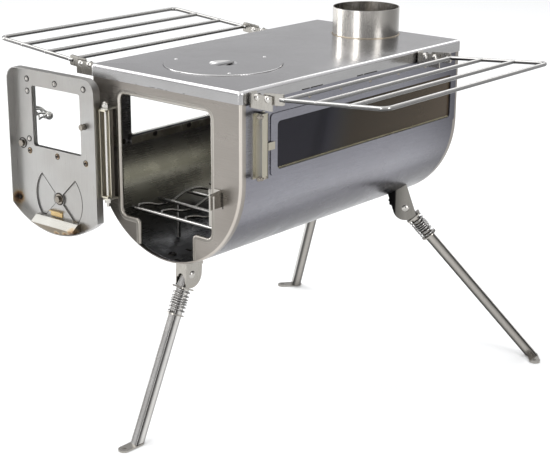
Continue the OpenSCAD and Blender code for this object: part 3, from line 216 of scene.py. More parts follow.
def stainless(name, look):
    # bare steel: its grain first, then the film on it and the tones that its look names
    material, tree, coords = startMaterial(name)
    shader = tree.nodes["Principled BSDF"]
    sizes = [look["grain"]] * 3
    if look["axis"] is not None:
        sizes[look["axis"]] = look["length"]
    grain = mottle(tree, coords, sizes, 4.0, 0.65)
    base = toned(tree, grain, 0.3, 0.7, [(0.0, look["dark"]), (1.0, look["light"])])
    film = addNode(tree, "ShaderNodeMapRange", {"From Min": 0.42, "From Max": 0.72, "To Max": look["haze"]},
                   {"Value": mottle(tree, coords, [patches["film"]] * 3, 3.0, 0.6)})
    base = addNode(tree, "ShaderNodeMix", {"data_type": "RGBA", 7: colour(look["film"])},
                   {0: film.outputs["Result"], 6: base}).outputs[2]
    ground = addNode(tree, "ShaderNodeMapRange", {
        "From Min": 0.3, "From Max": 0.7, "To Min": look["smooth"], "To Max": look["rough"]},
        {"Value": grain})
    worn = addNode(tree, "ShaderNodeMapRange", {
        "From Min": 0.35, "From Max": 0.7, "To Min": -look["patch"], "To Max": look["patch"]},
        {"Value": mottle(tree, coords, [patches["worn"]] * 3, 2.0, 0.5)})
    rough = addNode(tree, "ShaderNodeMath", {"operation": "ADD"},
                    {0: ground.outputs["Result"], 1: worn.outputs["Result"]}).outputs[0]
    if "turn" in look:
        # painted light and shade: a face is made lighter or darker by the way it is turned, standing in for
        # the highlights and shade it catches
        normal = addNode(tree, "ShaderNodeTexCoord").outputs["Normal"]
        facing = addNode(tree, "ShaderNodeSeparateXYZ", links={0: normal})
        base = paintedShadeAlong(tree, base, facing.outputs[look.get("turnAxis", "Z")], -1.0, 1.0, look["turn"])
    if "fade" in look:
        # painted shade: a slow change of tone from one place on the piece to another
        start, end, tones = look["fade"]
        way = end - start
        place = addNode(tree, "ShaderNodeVectorMath", {"operation": "SUBTRACT", 1: start}, {0: coords})
        along = addNode(tree, "ShaderNodeVectorMath", {
            "operation": "DOT_PRODUCT", 1: way / way.length_squared}, {0: place.outputs["Vector"]})
        base = paintedShadeAlong(tree, base, along.outputs["Value"], 0.0, 1.0, tones)
    if "tube" in look:
        base = rubbed(tree, coords, base, look)
    if "inside" in look:
        base = paintedWallBands(tree, coords, base, look["inside"])
    for spot in look.get("spots", []):
        base, rough = burnAndShadowSpot(tree, coords, base, rough, spot)
    tree.links.new(base, shader.inputs["Base Color"])
    tree.links.new(rough, shader.inputs["Roughness"])
    shader.inputs["Metallic"].default_value = 1.0
    bump = addNode(tree, "ShaderNodeBump", {"Strength": look["bump"], "Distance": grainDepth * mm},
                   {"Height": grain})
    if "dent" in look:
        dents = mottle(tree, coords, [patches["dent"]] * 3, 1.0, 0.4)
        deep = addNode(tree, "ShaderNodeBump", {"Strength": 1.0, "Distance": look["dent"] * mm},
                       {"Height": dents})
        tree.links.new(deep.outputs["Normal"], bump.inputs["Normal"])
    tree.links.new(bump.outputs["Normal"], shader.inputs["Normal"])
    return material


# Cold-rolled 304 sheet with a fine 2B grain along the stove: soft, slightly blue; painted light and shade by
# the way it faces, painted shade towards the back, and painted light in bands inside
rolledSheet = stainless("rolled stainless sheet", {
    "grain": 0.35, "length": 30, "axis": 1, "dark": "#85858b", "light": "#939399", "smooth": 0.25,
    "rough": 0.32, "patch": 0.03, "dent": 0.22, "bump": 0.05, "film": "#7a777c", "haze": 0.3,
    "turn": [(0.0, "#7e7e80"), (0.1, "#8d8d90"), (0.17, "#97969a"), (0.22, "#a8a7ab"), (0.265, "#c4c3c7"),
             (0.3, "#eeeeef"), (0.345, "#ffffff"), (0.38, "#f8f8f9"), (0.42, "#ececed"), (0.47, "#e2e2e4"),
             (0.5, "#e0e0e2")],
    "fade": (at(0, 290, 0), at(0, 432, 0), [(0.0, "#ffffff"), (0.45, "#e9e9ea"), (1.0, "#a3a2a6")]),
    "inside": [(-225, "#8b8b92"), (-190, "#8f8f8c"), (-166, "#aaa99d"), (-152, "#e2e1d4"), (-144, "#b2b1a2"),
               (-120, "#85847e"), (-100, "#6f6e73")]})
# The end panels are pressed from the same sheet with the grain across: warmer, with handling marks; their
# rolled edges are painted bright as painted highlight, and painted shade deepens towards the lower left
pressed = {
    "grain": 0.35, "length": 30, "axis": 0, "dark": "#b7b0a9", "light": "#c5bfb7", "smooth": 0.28,
    "rough": 0.38, "patch": 0.05, "dent": 0.2, "bump": 0.06, "film": "#9d958c", "haze": 0.45, "turnAxis": "Y",
    "turn": [(0.0, "#b8b8b8"), (0.004, "#b8b8b8"), (0.02, "#ededed"), (0.07, "#ffffff"), (0.4, "#ffffff"),
             (0.5, "#b8b8b8")],
    "fade": (at(-20, 0, -130), at(-90, 0, -220), [
        (0.0, "#ffffff"), (0.08, "#fafafa"), (0.2, "#dcdbda"), (0.54, "#b2b1b0"), (0.8, "#989795"),
        (1.0, "#8b8987")])}
pressedSheet = stainless("pressed stainless panel", pressed)
# The hem rolled round the mouth, rubbed bright by the door; its slopes are painted brightest as painted
# highlight, and painted shade deepens towards the lower left
hemSheet = stainless("rolled hem", {
    **pressed, "axis": 2, "dark": "#c9c3bb", "light": "#d9d4cc", "film": "#b5ada2", "smooth": 0.26,
    "rough": 0.36,
    "turn": [(0.0, "#b9b9b9"), (0.004, "#b9b9b9"), (0.02, "#f4f4f4"), (0.3, "#f4f4f4"), (0.5, "#a8a8a8")],
    "fade": (at(60, 0, -40), at(-40, 0, -210), [(0.0, "#ffffff"), (0.35, "#e0e0df"), (1.0, "#b4b3b1")])})
# The cooktop is the smoothest sheet: it mirrors the collar in long streaks; its fold is painted brighter than
# the flat top as painted highlight, and its flanges are painted darker as painted shade
cooktopSheet = stainless("smooth cooktop sheet", {
    "grain": 0.5, "length": 45, "axis": 1, "dark": "#e4e3e3", "light": "#f2f1f1", "smooth": 0.17,
    "rough": 0.24, "patch": 0.03, "dent": 0.12, "bump": 0.05, "film": "#cdcbc8", "haze": 0.35,
    "turn": [(0.0, "#969696"), (0.5, "#a8a8a8"), (0.6, "#d8d8d8"), (0.66, "#efefef"), (0.97, "#efefef"),
             (0.993, "#bebebe"), (1.0, "#bebebe")]})
# Collar tube, polished on the outside after drawing: vertical bright lines; its sides are painted darker, the
# right-hand side most, as painted shade
collarTube = stainless("polished collar tube", {
    "grain": 0.4, "length": 30, "axis": 2, "dark": "#d8d4ce", "light": "#f0ece6", "smooth": 0.2, "rough": 0.3,
    "patch": 0.03, "bump": 0.08, "film": "#a19a8e", "haze": 0.3, "turnAxis": "X",
    "turn": [(0.12, "#c9c9c9"), (0.2, "#ffffff"), (0.62, "#ffffff"), (0.75, "#d8d8d8"), (0.9, "#b9b9b9"),
             (0.97, "#a8a8a8"), (1.0, "#969696")]})
# Folded brackets and strips: drawn lines along the fold
strips = {
    "grain": 0.3, "length": 20, "axis": 2, "dark": "#93908a", "light": "#aeaba5", "smooth": 0.18,
    "rough": 0.30, "patch": 0.04, "bump": 0.06, "film": "#857e74", "haze": 0.25}
foldedStrip = stainless("folded stainless strip", strips)
# The hinge's ears are bright on their folds
bright = {**strips, "dark": "#bdbab0", "light": "#d2cfc6", "smooth": 0.26, "rough": 0.38}
brightStrip = stainless("bright folded strip", bright)
# The side keepers' outward walls are painted darker than their folds, as painted shade
sideKeeper = stainless("side keeper with painted shade", {
    **bright, "turnAxis": "X",
    "turn": [(0.0, "#d2cfc7"), (0.1, "#d2cfc7"), (0.3, "#ffffff"), (0.7, "#ffffff"), (0.9, "#d2cfc7"),
             (1.0, "#d2cfc7")]})
# The rear bracket's inner side, painted nearly black as its own shadow, with every face that turns away from
# the front painted dark as painted shade
shadedRearBracket = stainless("sooted rear bracket", {
    **strips, "turnAxis": "Y",
    "turn": [(0.0, "#ffffff"), (0.22, "#e8e8e8"), (0.34, "#4a4a4c"), (0.5, "#2c2c2e"), (1.0, "#2a2a2c")],
    "fade": (at(56, 366, -235), at(76, 384, -235), [
        (0.0, "#101012"), (0.46, "#1c1c1e"), (0.54, "#9a9a9a"), (1.0, "#cacaca")])})
# Electropolished wire: racks, springs, handle; its undersides are painted darker as painted shade
polishedWire = stainless("polished stainless wire", {
    "grain": 0.3, "length": 6, "axis": 1, "dark": "#b0afad", "light": "#c9c8c6", "smooth": 0.14,
    "rough": 0.24, "patch": 0.03, "bump": 0.05, "film": "#a09b93", "haze": 0.25,
    "turn": [(0.0, "#4a4a4b"), (0.3, "#6a6a6b"), (0.48, "#8f8f8f"), (0.62, "#e2e2e2"), (0.8, "#ffffff"),
             (1.0, "#ffffff")]})
# Turned and headed parts have no grain that shows
fixing = {"grain": 0.35, "length": 1, "axis": None, "patch": 0.03, "bump": 0.06}
fixingSteel = stainless("bright fixing steel", {
    **fixing, "dark": "#a5a29d", "light": "#cac8c4", "smooth": 0.12, "rough": 0.24, "film": "#7d7466",
    "haze": 0.35})
# Nuts and bolt ends inside the door, dulled by smoke
smokedFixing = stainless("smoked fixing steel", {
    **fixing, "dark": "#6d6861", "light": "#9b958c", "smooth": 0.16, "rough": 0.3, "film": "#54493c",
    "haze": 0.5})
# The hinge's channel, brown-grey in its own shade
shadedChannel = stainless("shaded hinge channel", {
    **strips, "dark": "#c4bfae", "light": "#dad4c3", "film": "#b0a795", "smooth": 0.3, "rough": 0.45,
    "turnAxis": "X", "turn": [(0.0, "#ffffff"), (0.6, "#ffffff"), (0.85, "#b9b7bd"), (1.0, "#b9b7bd")]})
# Square tube drawn along its length, with a painted highlight down the middle of each face and painted shade
# towards its corners
drawn = {
    "grain": 0.4, "length": 12, "axis": 2, "dark": "#c9c7c4", "light": "#dfddda", "smooth": 0.18,
    "rough": 0.30, "patch": 0.04, "bump": 0.06, "film": "#b3ada4", "haze": 0.35, "halfWidth": 6.5,
    "rub": [(0.0, "#ffffff"), (0.35, "#efefef"), (0.6, "#a2a2a2"), (0.8, "#6a6a6a"), (0.92, "#474747"),
            (1.0, "#8c8c8c")]}
# Grate wire, dulled by handling; its sides and underside are painted dark as painted shade
grateWire = stainless("dull grate wire", {
    "grain": 0.4, "length": 6, "axis": 0, "dark": "#dcdad6", "light": "#f2f0ec", "smooth": 0.20,
    "rough": 0.34, "patch": 0.04, "bump": 0.06, "film": "#b5afa6", "haze": 0.4,
    "turn": [(0.0, "#1c1c1c"), (0.42, "#3c3c3c"), (0.6, "#8c8c8c"), (0.78, "#ffffff"), (1.0, "#ffffff")]})
# The door's sheet, burnt where its fixings were welded and by the lip's rivet
doorSpots = (((74, -8, -189), 11), ((-27, -10, -210), 9), ((0, -10.3, -123), 5), ((-51, -10.3, -124), 5),
             ((51, -10.3, -124), 5))
doorSheet = stainless("door sheet", {
    "grain": 0.35, "length": 24, "axis": 2, "dark": "#9c9b99", "light": "#a9a8a6", "smooth": 0.30,
    "rough": 0.40, "patch": 0.05, "dent": 0.15, "bump": 0.06, "film": "#8b857d", "haze": 0.35,
    "spots": [(onDoor(*place), size, "#2b2119") for place, size in doorSpots]})
# The ash lip, polished by sweeping; its facets are painted darker the more they face down, as painted shade,
# and its left end is painted dark as its shadow
lipSheet = stainless("ash lip sheet", {
    "grain": 0.35, "length": 24, "axis": 0, "dark": "#dedbd5", "light": "#efece6", "smooth": 0.24,
    "rough": 0.34, "patch": 0.04, "bump": 0.05, "film": "#b8ad9c", "haze": 0.35,
    "turn": [(0.0, "#6d6456"), (0.5, "#8f877a"), (0.62, "#a39b8e"), (0.8, "#a9aaa9"), (1.0, "#c4c5c4")],
    # painted shadow at the left end of the lip
    "spots": [(onDoor(-36, 2, -217), 12, "#1d140e"), (onDoor(-22, 4, -221), 8, "#4a4232"),
              (onDoor(-6, 4, -222), 7, "#5a503c")]})
# The damper's stop, straw yellow from the heat
tintedTab = stainless("heat-tinted tab", {
    "grain": 0.4, "length": 5, "axis": 0, "dark": "#a88a5c", "light": "#cdb98c", "smooth": 0.22,
    "rough": 0.34, "patch": 0.04, "bump": 0.06, "film": "#7d6440", "haze": 0.6})
# Weld metal left as it cooled: straw to bronze
weldBead = stainless("straw weld bead", {
    "grain": 0.8, "length": 1, "axis": None, "dark": "#8f8474", "light": "#c9bfae", "smooth": 0.25,
    "rough": 0.4, "patch": 0.04, "bump": 0.1, "film": "#7a6650", "haze": 0.5})
# Marks punched or burnt right through the bright surface, and dark strips painted in as shadow
darkMarkAndShadow = stainless("dark mark and painted shadow", {
    "grain": 0.6, "length": 3, "axis": None, "dark": "#1d1b1a", "light": "#3a3734", "smooth": 0.4,
    "rough": 0.55, "patch": 0.04, "bump": 0.05, "film": "#2a2420", "haze": 0.3})


def fibreRope(name, look):
    # woven glass fibre: matt, with a fluff that catches ash
    material, tree, coords = startMaterial(name)
    shader = tree.nodes["Principled BSDF"]
    fluff = mottle(tree, coords, [look["fluff"]] * 3, 3.0, 0.6)
    tree.links.new(toned(tree, fluff, 0.3, 0.7, [(0.0, look["dark"]), (1.0, look["light"])]),
                   shader.inputs["Base Color"])
    shader.inputs["Roughness"].default_value = look["rough"]
    return material


gasketRope = fibreRope("glass-fibre rope", {
    "dark": "#5a5442", "light": "#c2ba9c", "rough": 0.9, "fluff": 1.111})


def glassPane(name, look):
    # thin drawn ceramic glass: see-through and mirror mixed, which needs no refraction
    material, tree, coords = startMaterial(name)
    tree.nodes.remove(tree.nodes["Principled BSDF"])
    smear = mottle(tree, coords, (26.3, 26.3, 11.1), 3.0, 0.6)
    tint = toned(tree, smear, 0.3, 0.7, [(0.0, look["dark"]), (1.0, look["light"])])
    body = addNode(tree, "ShaderNodeBsdfTransparent", links={"Color": tint}).outputs[0]
    mirror = addNode(tree, "ShaderNodeBsdfGlossy", {"Roughness": 0.03})
    facing = addNode(tree, "ShaderNodeLayerWeight", {"Blend": 0.5}).outputs["Facing"]
    steep = addNode(tree, "ShaderNodeMath", {"operation": "POWER", 1: 4.0}, {0: facing})
    share = addNode(tree, "ShaderNodeMapRange", {"To Min": look["shine"], "To Max": look["grazing"]},
                    {"Value": steep.outputs[0]})
    if "soot" in look:
        # the smoke's film runs back from the door and leans with the draught
        start, end, lean, cover, tones = look["soot"]
        way = addNode(tree, "ShaderNodeVectorMath", {"operation": "DOT_PRODUCT", 1: (0, 1, -lean)},
                      {0: coords})
        film = toned(tree, way.outputs["Value"], start.y - lean * start.z, end.y - lean * end.z, tones)
        soot = addNode(tree, "ShaderNodeBsdfDiffuse", links={"Color": film})
        body = addNode(tree, "ShaderNodeMixShader", {0: cover}, {1: body, 2: soot.outputs[0]}).outputs[0]
    pane = addNode(tree, "ShaderNodeMixShader", links={
        0: share.outputs["Result"], 1: body, 2: mirror.outputs[0]})
    tree.links.new(pane.outputs[0], tree.nodes["Material Output"].inputs["Surface"])
    return material


# The door's pane is clean; the side's is smoked blue-black by the door and brown further back
clearPane = glassPane("clear ceramic glass", {
    "dark": "#fafbfa", "light": "#ffffff", "shine": 0.01, "grazing": 0.9})
smokyPane = glassPane("smoked ceramic glass", {
    "dark": "#75695a", "light": "#8b7e6b", "shine": 0.012, "grazing": 0.5,
    "soot": (at(0, 62, -70), at(0, 410, -70), 0.3, 0.68, [
        (0.0, "#1d1c25"), (0.19, "#191821"), (0.22, "#0b0a15"), (0.25, "#0d0c18"), (0.29, "#24232b"),
        (0.36, "#2d2a27"), (0.42, "#30281d"), (0.8, "#40372b"), (1.0, "#4b4135")])})
print("materials done")


# Tools for meshes

def link(mesh, name):
    piece = bpy.data.objects.new(name, mesh)
    bpy.context.scene.collection.objects.link(piece)
    return piece


def meshPiece(name, bm, material, body, smooth=40):
    mesh = bpy.data.meshes.new(name)
    bmesh.ops.recalc_face_normals(bm, faces=bm.faces)
    bm.to_mesh(mesh)
    bm.free()
    for polygon in mesh.polygons:
        polygon.use_smooth = True
    mesh.set_sharp_from_angle(angle=radians(smooth))
    mesh.materials.append(material)
    piece = link(mesh, name)
    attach(piece, body)
    return piece


def edgesOf(verts):
    return list(dict.fromkeys(edge for vert in verts for edge in vert.link_edges))


def wire(bm, points, radius, sides=16, seed=Vector((0, 0, 1)), closed=False):
    # a ring extruded from point to point, turned with the line but never twisted
    count = len(points)
    normal = None
    places = []
    for i, point in enumerate(points):
        ahead = points[(i + 1) % count] if closed else points[min(i + 1, count - 1)]
        behind = points[i - 1] if closed or i else points[0]
        along = (ahead - behind).normalized()
        if normal is None:
            normal = along.cross(seed).normalized()
        normal = (normal - normal.dot(along) * along).normalized()
        turn = Matrix((normal, along.cross(normal), along)).transposed().to_4x4()
        places.append(Matrix.Translation(point) @ turn)
    ring = bmesh.ops.create_circle(bm, segments=sides, radius=radius)["verts"]
    bmesh.ops.transform(bm, matrix=places[0], verts=ring)
    firstRing = edges = edgesOf(ring)
    for before, after in zip(places, places[1:]):
        grown = bmesh.ops.extrude_edge_only(bm, edges=edges)["geom"]
        ring = [part for part in grown if isinstance(part, bmesh.types.BMVert)]
        edges = [part for part in grown if isinstance(part, bmesh.types.BMEdge)]
        bmesh.ops.transform(bm, matrix=after @ before.inverted(), verts=ring)
    if closed:
        bmesh.ops.bridge_loops(bm, edges=firstRing + edges)
        return
    for end in (firstRing, edges):
        cap = bmesh.ops.contextual_create(bm, geom=end)["faces"]
        bmesh.ops.inset_region(bm, faces=cap, thickness=radius * 0.25, depth=0)


def arc(centre, radius, start, end, first, second, steps=8):
    # points on an arc in the plane of two unit vectors
    turns = [radians(start + (end - start) * i / steps) for i in range(steps + 1)]
    return [centre + radius * (cos(turn) * first + sin(turn) * second) for turn in turns]


def turned(x, z, radius, start, end, steps=8):
    # flat points on an arc, angles from the right-hand side upwards
    turns = [radians(start + (end - start) * i / steps) for i in range(steps + 1)]
    return [(x + radius * cos(turn), z + radius * sin(turn)) for turn in turns]


def outlined(bm, points, closed=False):
    # edges drawn from point to point
    verts = [bm.verts.new(point) for point in points]
    ends = verts[1:] + (verts[:1] if closed else [])
    return [bm.edges.new(pair) for pair in zip(verts, ends)]


def bands(bm, loops, closed=False):
    # one sheet laid over lines that have the same number of points
    drawnLines = [outlined(bm, points, closed) for points in loops]
    for first, second in zip(drawnLines, drawnLines[1:]):
        bmesh.ops.bridge_loops(bm, edges=first + second)
    return drawnLines


def boxOf(bm, low, high, edge=0.0, origin=at(0, 0, 0)):
    # a box between two corners in millimetres, its edges rounded by a small bevel
    verts = bmesh.ops.create_cube(bm, size=1)["verts"]
    low, high = Vector(low) * mm, Vector(high) * mm
    bmesh.ops.scale(bm, vec=high - low, verts=verts)
    bmesh.ops.translate(bm, vec=origin + (low + high) / 2, verts=verts)
    if edge:
        bmesh.ops.bevel(bm, geom=edgesOf(verts), offset=edge * mm, segments=2, profile=0.5, affect="EDGES",
                        material=-1)
    return verts


def plug(bm, place, turn, radii, depth, sides=32):
    # a short plug or nut, turned so that its axis points where it should
    verts = bmesh.ops.create_cone(bm, cap_ends=True, segments=sides, radius1=radii[0] * mm,
                                  radius2=radii[1] * mm, depth=depth * mm)["verts"]
    bmesh.ops.rotate(bm, matrix=turn, verts=verts)
    bmesh.ops.translate(bm, vec=place, verts=verts)


def lump(bm, place, radius, stretch, subdivisions=3):
    # weld metal as it froze
    verts = bmesh.ops.create_icosphere(bm, subdivisions=subdivisions, radius=radius * mm)["verts"]
    bmesh.ops.scale(bm, vec=stretch, verts=verts)
    bmesh.ops.translate(bm, vec=place, verts=verts)


def ball(bm, place, radius, around, rows):
    verts = bmesh.ops.create_uvsphere(bm, u_segments=around, v_segments=rows, radius=radius * mm)["verts"]
    bmesh.ops.translate(bm, vec=place, verts=verts)


def dressed(name, material, bevel=0.0):
    # a CAD piece shown as it is, with its edges broken by a small bevel
    piece = nodes[name]
    piece.data.materials.clear()
    piece.data.materials.append(material)
    if bevel:
        edge = piece.modifiers.new("broken edges", "BEVEL")
        edge.width = bevel * mm
        edge.segments = 2
        edge.limit_method = "ANGLE"
        edge.angle_limit = radians(40)
        edge.harden_normals = False


facingFront = Matrix.Rotation(radians(90), 3, "X")
facingSide = Matrix.Rotation(radians(90), 3, "Y")


# The CAD pieces that show as they are
plain = {
    "firebox_shell": rolledSheet, "back_panel": pressedSheet, "burner_lid": cooktopSheet,
    "flue_collar": collarTube, "right_window_glass": smokyPane, "left_window_glass": clearPane,
    "window_screws": smokedFixing, "door_panel": doorSheet, "door_glass": clearPane,
    "door_glass_frame": doorSheet, "door_screws": fixingSteel, "damper_plate": doorSheet,
    "damper_spindle": smokedFixing, "damper_stop": tintedTab,
    "latch_lever": foldedStrip, "latch_bolt": smokedFixing, "latch_catch": foldedStrip,
    "door_hinge_ears": brightStrip, "door_hinge_rod": fixingSteel, "door_hinge_cap_nut": fixingSteel,
}
for side in ("right", "left"):
    plain.update({
        side + "_window_frame": rolledSheet, side + "_glass_strips": foldedStrip,
        side + "_window_keeper": sideKeeper, side + "_rack_brackets": foldedStrip,
        side + "_rack_rivets": fixingSteel})
for leg in ("front", "rear_right", "rear_left"):
    plain.update({
        leg + "_leg_bracket": foldedStrip, leg + "_leg_rivet": fixingSteel, leg + "_leg_foot": foldedStrip,
        leg + "_leg_collar": foldedStrip, leg + "_leg_seat": foldedStrip})
plain["rear_right_leg_bracket"] = shadedRearBracket

# pieces cut from sheet have their edges broken, by this much in millimetres
brokenEdge = 0.3
broken = ("window_frame", "glass_frame", "brackets", "leg_bracket", "keeper", "catch", "ears", "_foot",
          "leg_collar", "door_panel", "latch_lever")
for name, material in plain.items():
    dressed(name, material, brokenEdge if name.endswith(broken) else 0.0)
print("CAD pieces dressed")


# Front panel: a pressed sheet whose edge is rolled inwards all round the mouth
panel = {"edge": 3, "rim": panelHigh[1], "up": -2, "steps": 30}
mouth = {"half": 74, "top": -31, "low": -181, "corner": 8, "slot": 43.5, "shoulder": 7, "foot": -213,
         "roll": 6.5, "deep": 4, "steps": 8}
flat = bodyHalf - panel["edge"]
toe = degrees(acos((mouth["slot"] + mouth["roll"]) / flat))


def keyhole(grown):
    # the mouth's outline from the slot's right foot round to its left foot, made larger all round
    low, inner = mouth["low"], mouth["half"] - mouth["corner"]
    corner, ease = mouth["corner"] + grown, mouth["shoulder"] - grown
    right = [(mouth["slot"] + grown, mouth["foot"])]
    right += turned(mouth["slot"] + mouth["shoulder"], low - mouth["shoulder"], ease, 180, 90)
    right += turned(inner, low + mouth["corner"], corner, -90, 0)
    right += turned(inner, mouth["top"] - mouth["corner"], corner, 0, 90, 12)
    return right + [(-x, z) for x, z in reversed(right)]


def endOutline(radius):
    # the end panels' outline from the right-hand top round the floor to the left-hand top
    steps = panel["steps"]
    floor = turned(0, floorAxis, radius, 0, -toe, steps)
    floor += turned(0, floorAxis, radius, -toe, toe - 180, steps)[1:-1]
    floor += turned(0, floorAxis, radius, toe - 180, -180, steps)
    return [(radius, panel["up"])] + floor + [(-radius, panel["up"])]


bm = bmesh.new()
outline = turned(0, floorAxis, flat, -toe, 0, panel["steps"]) + [(flat, panel["up"]), (-flat, panel["up"])]
outline += turned(0, floorAxis, flat, -180, toe - 180, panel["steps"])
outline += reversed(keyhole(mouth["roll"])[1:-1])
bmesh.ops.contextual_create(bm, geom=outlined(bm, [at(x, 0, z) for x, z in outline], True))
rims = [(flat, 0.0), (flat + 0.05, 0.0)]
for i in range(1, mouth["steps"] + 1):
    turn = radians(90 * i / mouth["steps"])
    rims.append((flat + panel["edge"] * sin(turn), panel["edge"] * (1 - cos(turn))))
rims.append((bodyHalf, panel["rim"]))
bands(bm, [[at(x, y, z) for x, z in endOutline(radius)] for radius, y in rims])
bmesh.ops.remove_doubles(bm, verts=bm.verts, dist=0.03 * mm)
frontPanel = meshPiece("pressed_front", bm, pressedSheet, "stove")
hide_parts("front_panel")

# the hem's crest stands a third of a millimetre proud before it turns in: distance from the mouth, depth
crest = [(mouth["roll"], 0.0), (6.45, 0.0), (6.1, -0.05), (5.7, -0.15), (5.2, -0.26), (4.7, -0.33),
         (4.4, -0.35), (3.0, -0.35)]
innermost, proud = crest[-1]
for i in range(1, mouth["steps"] + 1):
    turn = radians(90 * i / mouth["steps"])
    crest.append((innermost * (1 - sin(turn)), mouth["deep"] * (1 - cos(turn)) + proud))
bm = bmesh.new()
bands(bm, [[at(x, y, z) for x, z in keyhole(grown)] for grown, y in crest])
rolledHem = meshPiece("rolled_hem", bm, hemSheet, "stove", 60)
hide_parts("front_panel")


# Cooktop: one sheet with a soft fold all round, a step for the lid and a hole for the collar
topLow, topHigh = boxAround("cooktop_plate")
lidLow, lidHigh = boxAround("burner_lid")
flueLow, flueHigh = boxAround("flue_collar")
top = {"corner": 6, "fold": 4.2, "foldSteps": 10, "lidGap": 0.6, "ledge": 66, "step": -2.2, "sheet": 1.5,
       "around": 128}
lidY, lidR = (lidLow[1] + lidHigh[1]) / 2, lidHigh[0] + top["lidGap"]
flueY, flueR = (flueLow[1] + flueHigh[1]) / 2, flueHigh[0]


def plate(inset):
    # the cooktop's outline drawn in from its edge
    half, corner = topHigh[0] - top["corner"], top["corner"] - inset
    front, back = topLow[1] + top["corner"], topHigh[1] - top["corner"]
    return (turned(half, front, corner, -90, 0) + turned(half, back, corner, 0, 90)
            + turned(-half, back, corner, 90, 180) + turned(-half, front, corner, 180, 270))


def circle(y, z, radius, sides, ripple=0.0, ripples=0):
    # level points round a place on the stove's middle line
    points = []
    for i in range(sides):
        turn = 2 * pi * i / sides
        points.append(at(radius * cos(turn), y + radius * sin(turn), z + ripple * sin(ripples * turn)))
    return points


bm = bmesh.new()
folds = [(0.0, topLow[2])]
for i in range(top["foldSteps"] + 1):
    turn = radians(90 * i / top["foldSteps"])
    folds.append((top["fold"] * (1 - cos(turn)), -top["fold"] * (1 - sin(turn))))
edges = bands(bm, [[at(x, y, z) for x, y in plate(inset)] for inset, z in folds], True)[-1]
lidSteps = [(lidR, 0), (lidR - 0.3, -0.5), (lidR - 0.4, top["step"]), (top["ledge"], top["step"])]
for y, steps in ((lidY, lidSteps), (flueY, [(flueR, 0), (flueR, -top["sheet"])])):
    edges += bands(bm, [circle(y, z, radius, top["around"]) for radius, z in steps], True)[0]
bmesh.ops.triangle_fill(bm, use_beauty=True, edges=edges)
cooktop = meshPiece("folded_cooktop", bm, cooktopSheet, "stove")
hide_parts("cooktop_plate")

bm = bmesh.new()
weld = {"out": 0.6, "up": 0.2, "ripple": 0.12, "ripples": 37, "thick": 0.85, "sides": 160}
ring = circle(flueY, weld["up"], flueR + weld["out"], weld["sides"], weld["ripple"], weld["ripples"])
wire(bm, ring, weld["thick"] * mm, 10, closed=True)
meshPiece("collar_weld", bm, weldBead, "stove", 60)


# Dark marks: crimps on the front flange, slots in the right one, screw ends inside, and holes in the floor
marks = {
    "crimps": ((-76, 3), (-44, 3), (-20, 9), (-7, 9), (6, 3), (34, 3)), "crimpY": (-1.95, -1.7),
    "crimpZ": (-14.6, -14.2), "vents": ((104, 14), (120, 22), (208, 12), (222, 26)), "ventZ": (-14.9, -13.7),
    "ventHalf": 0.2, "screwY": (43, 98.7, 160.7, 223, 285, 347, 404), "screwX": 114.8, "screwZ": -104.5,
    "screwR": (3.3, 2.6), "screwDeep": 1.2, "slots": ((-11, 47), (12, 12)), "slotSize": (15, 5),
    "slotZ": (-225.6, -224.3), "hole": (-11, 22, -224.4), "holeR": 4.2, "holeRim": 1.4, "crimpSoft": 0.05,
    "ventSoft": 0.1, "slotSoft": 1.0}
bm = bmesh.new()
(crimpFront, crimpBack), (crimpLow, crimpHigh) = marks["crimpY"], marks["crimpZ"]
for x, length in marks["crimps"]:
    boxOf(bm, (x, crimpFront, crimpLow), (x + length, crimpBack, crimpHigh), marks["crimpSoft"])
(ventLow, ventHigh), ventHalf = marks["ventZ"], marks["ventHalf"]
ventIn, ventOut = topHigh[0] - ventHalf, topHigh[0] + ventHalf
for y, length in marks["vents"]:
    boxOf(bm, (ventIn, y, ventLow), (ventOut, y + length, ventHigh), marks["ventSoft"])
for y in marks["screwY"]:
    for side in (-1, 1):
        plug(bm, at(side * marks["screwX"], y, marks["screwZ"]), Matrix.Rotation(radians(side * 90), 3, "Y"),
             marks["screwR"], marks["screwDeep"], 24)
slotX, slotY = (size / 2 for size in marks["slotSize"])
slotLow, slotHigh = marks["slotZ"]
for x, y in marks["slots"]:
    boxOf(bm, (x - slotX, y - slotY, slotLow), (x + slotX, y + slotY, slotHigh), marks["slotSoft"])
hole = [at(*marks["hole"]) + Vector((x * mm, y * mm, 0)) for x, y in turned(0, 0, marks["holeR"], 0, 351, 39)]
wire(bm, hole, marks["holeRim"] * mm, 8, closed=True)
meshPiece("dark_marks", bm, darkMarkAndShadow, "stove")

# Side keepers: a dark strip painted into the fold's gap as its shadow, and the weld lumps at its ends
keeperLow, keeperHigh = boxAround("right_window_keeper")
keeper = {"gapY": (33.4, 34.2), "gapTop": -28.5, "gapOut": 0.25, "inset": 1.0, "stretch": (0.7, 1.2, 0.9),
          "lumps": ((20, -30.5, 3.0), (24.5, -31.5, 2.4), (20, -102, 3.2), (25, -103, 2.6),
                    (31, -102.5, 2.2)), "soft": 0.05}
bm = bmesh.new()
gapFront, gapBack = keeper["gapY"]
for side in (-1, 1):
    inner, outer = sorted((side * keeperHigh[0], side * (keeperHigh[0] + keeper["gapOut"])))
    boxOf(bm, (inner, gapFront, keeperLow[2]), (outer, gapBack, keeper["gapTop"]), keeper["soft"])
meshPiece("keeper_gap_shadows", bm, darkMarkAndShadow, "stove")
bm = bmesh.new()
for side in (-1, 1):
    for y, z, radius in keeper["lumps"]:
        lump(bm, at(side * (keeperHigh[0] - keeper["inset"]), y, z), radius, keeper["stretch"])
meshPiece("keeper_welds", bm, smokedFixing, "stove", 60)

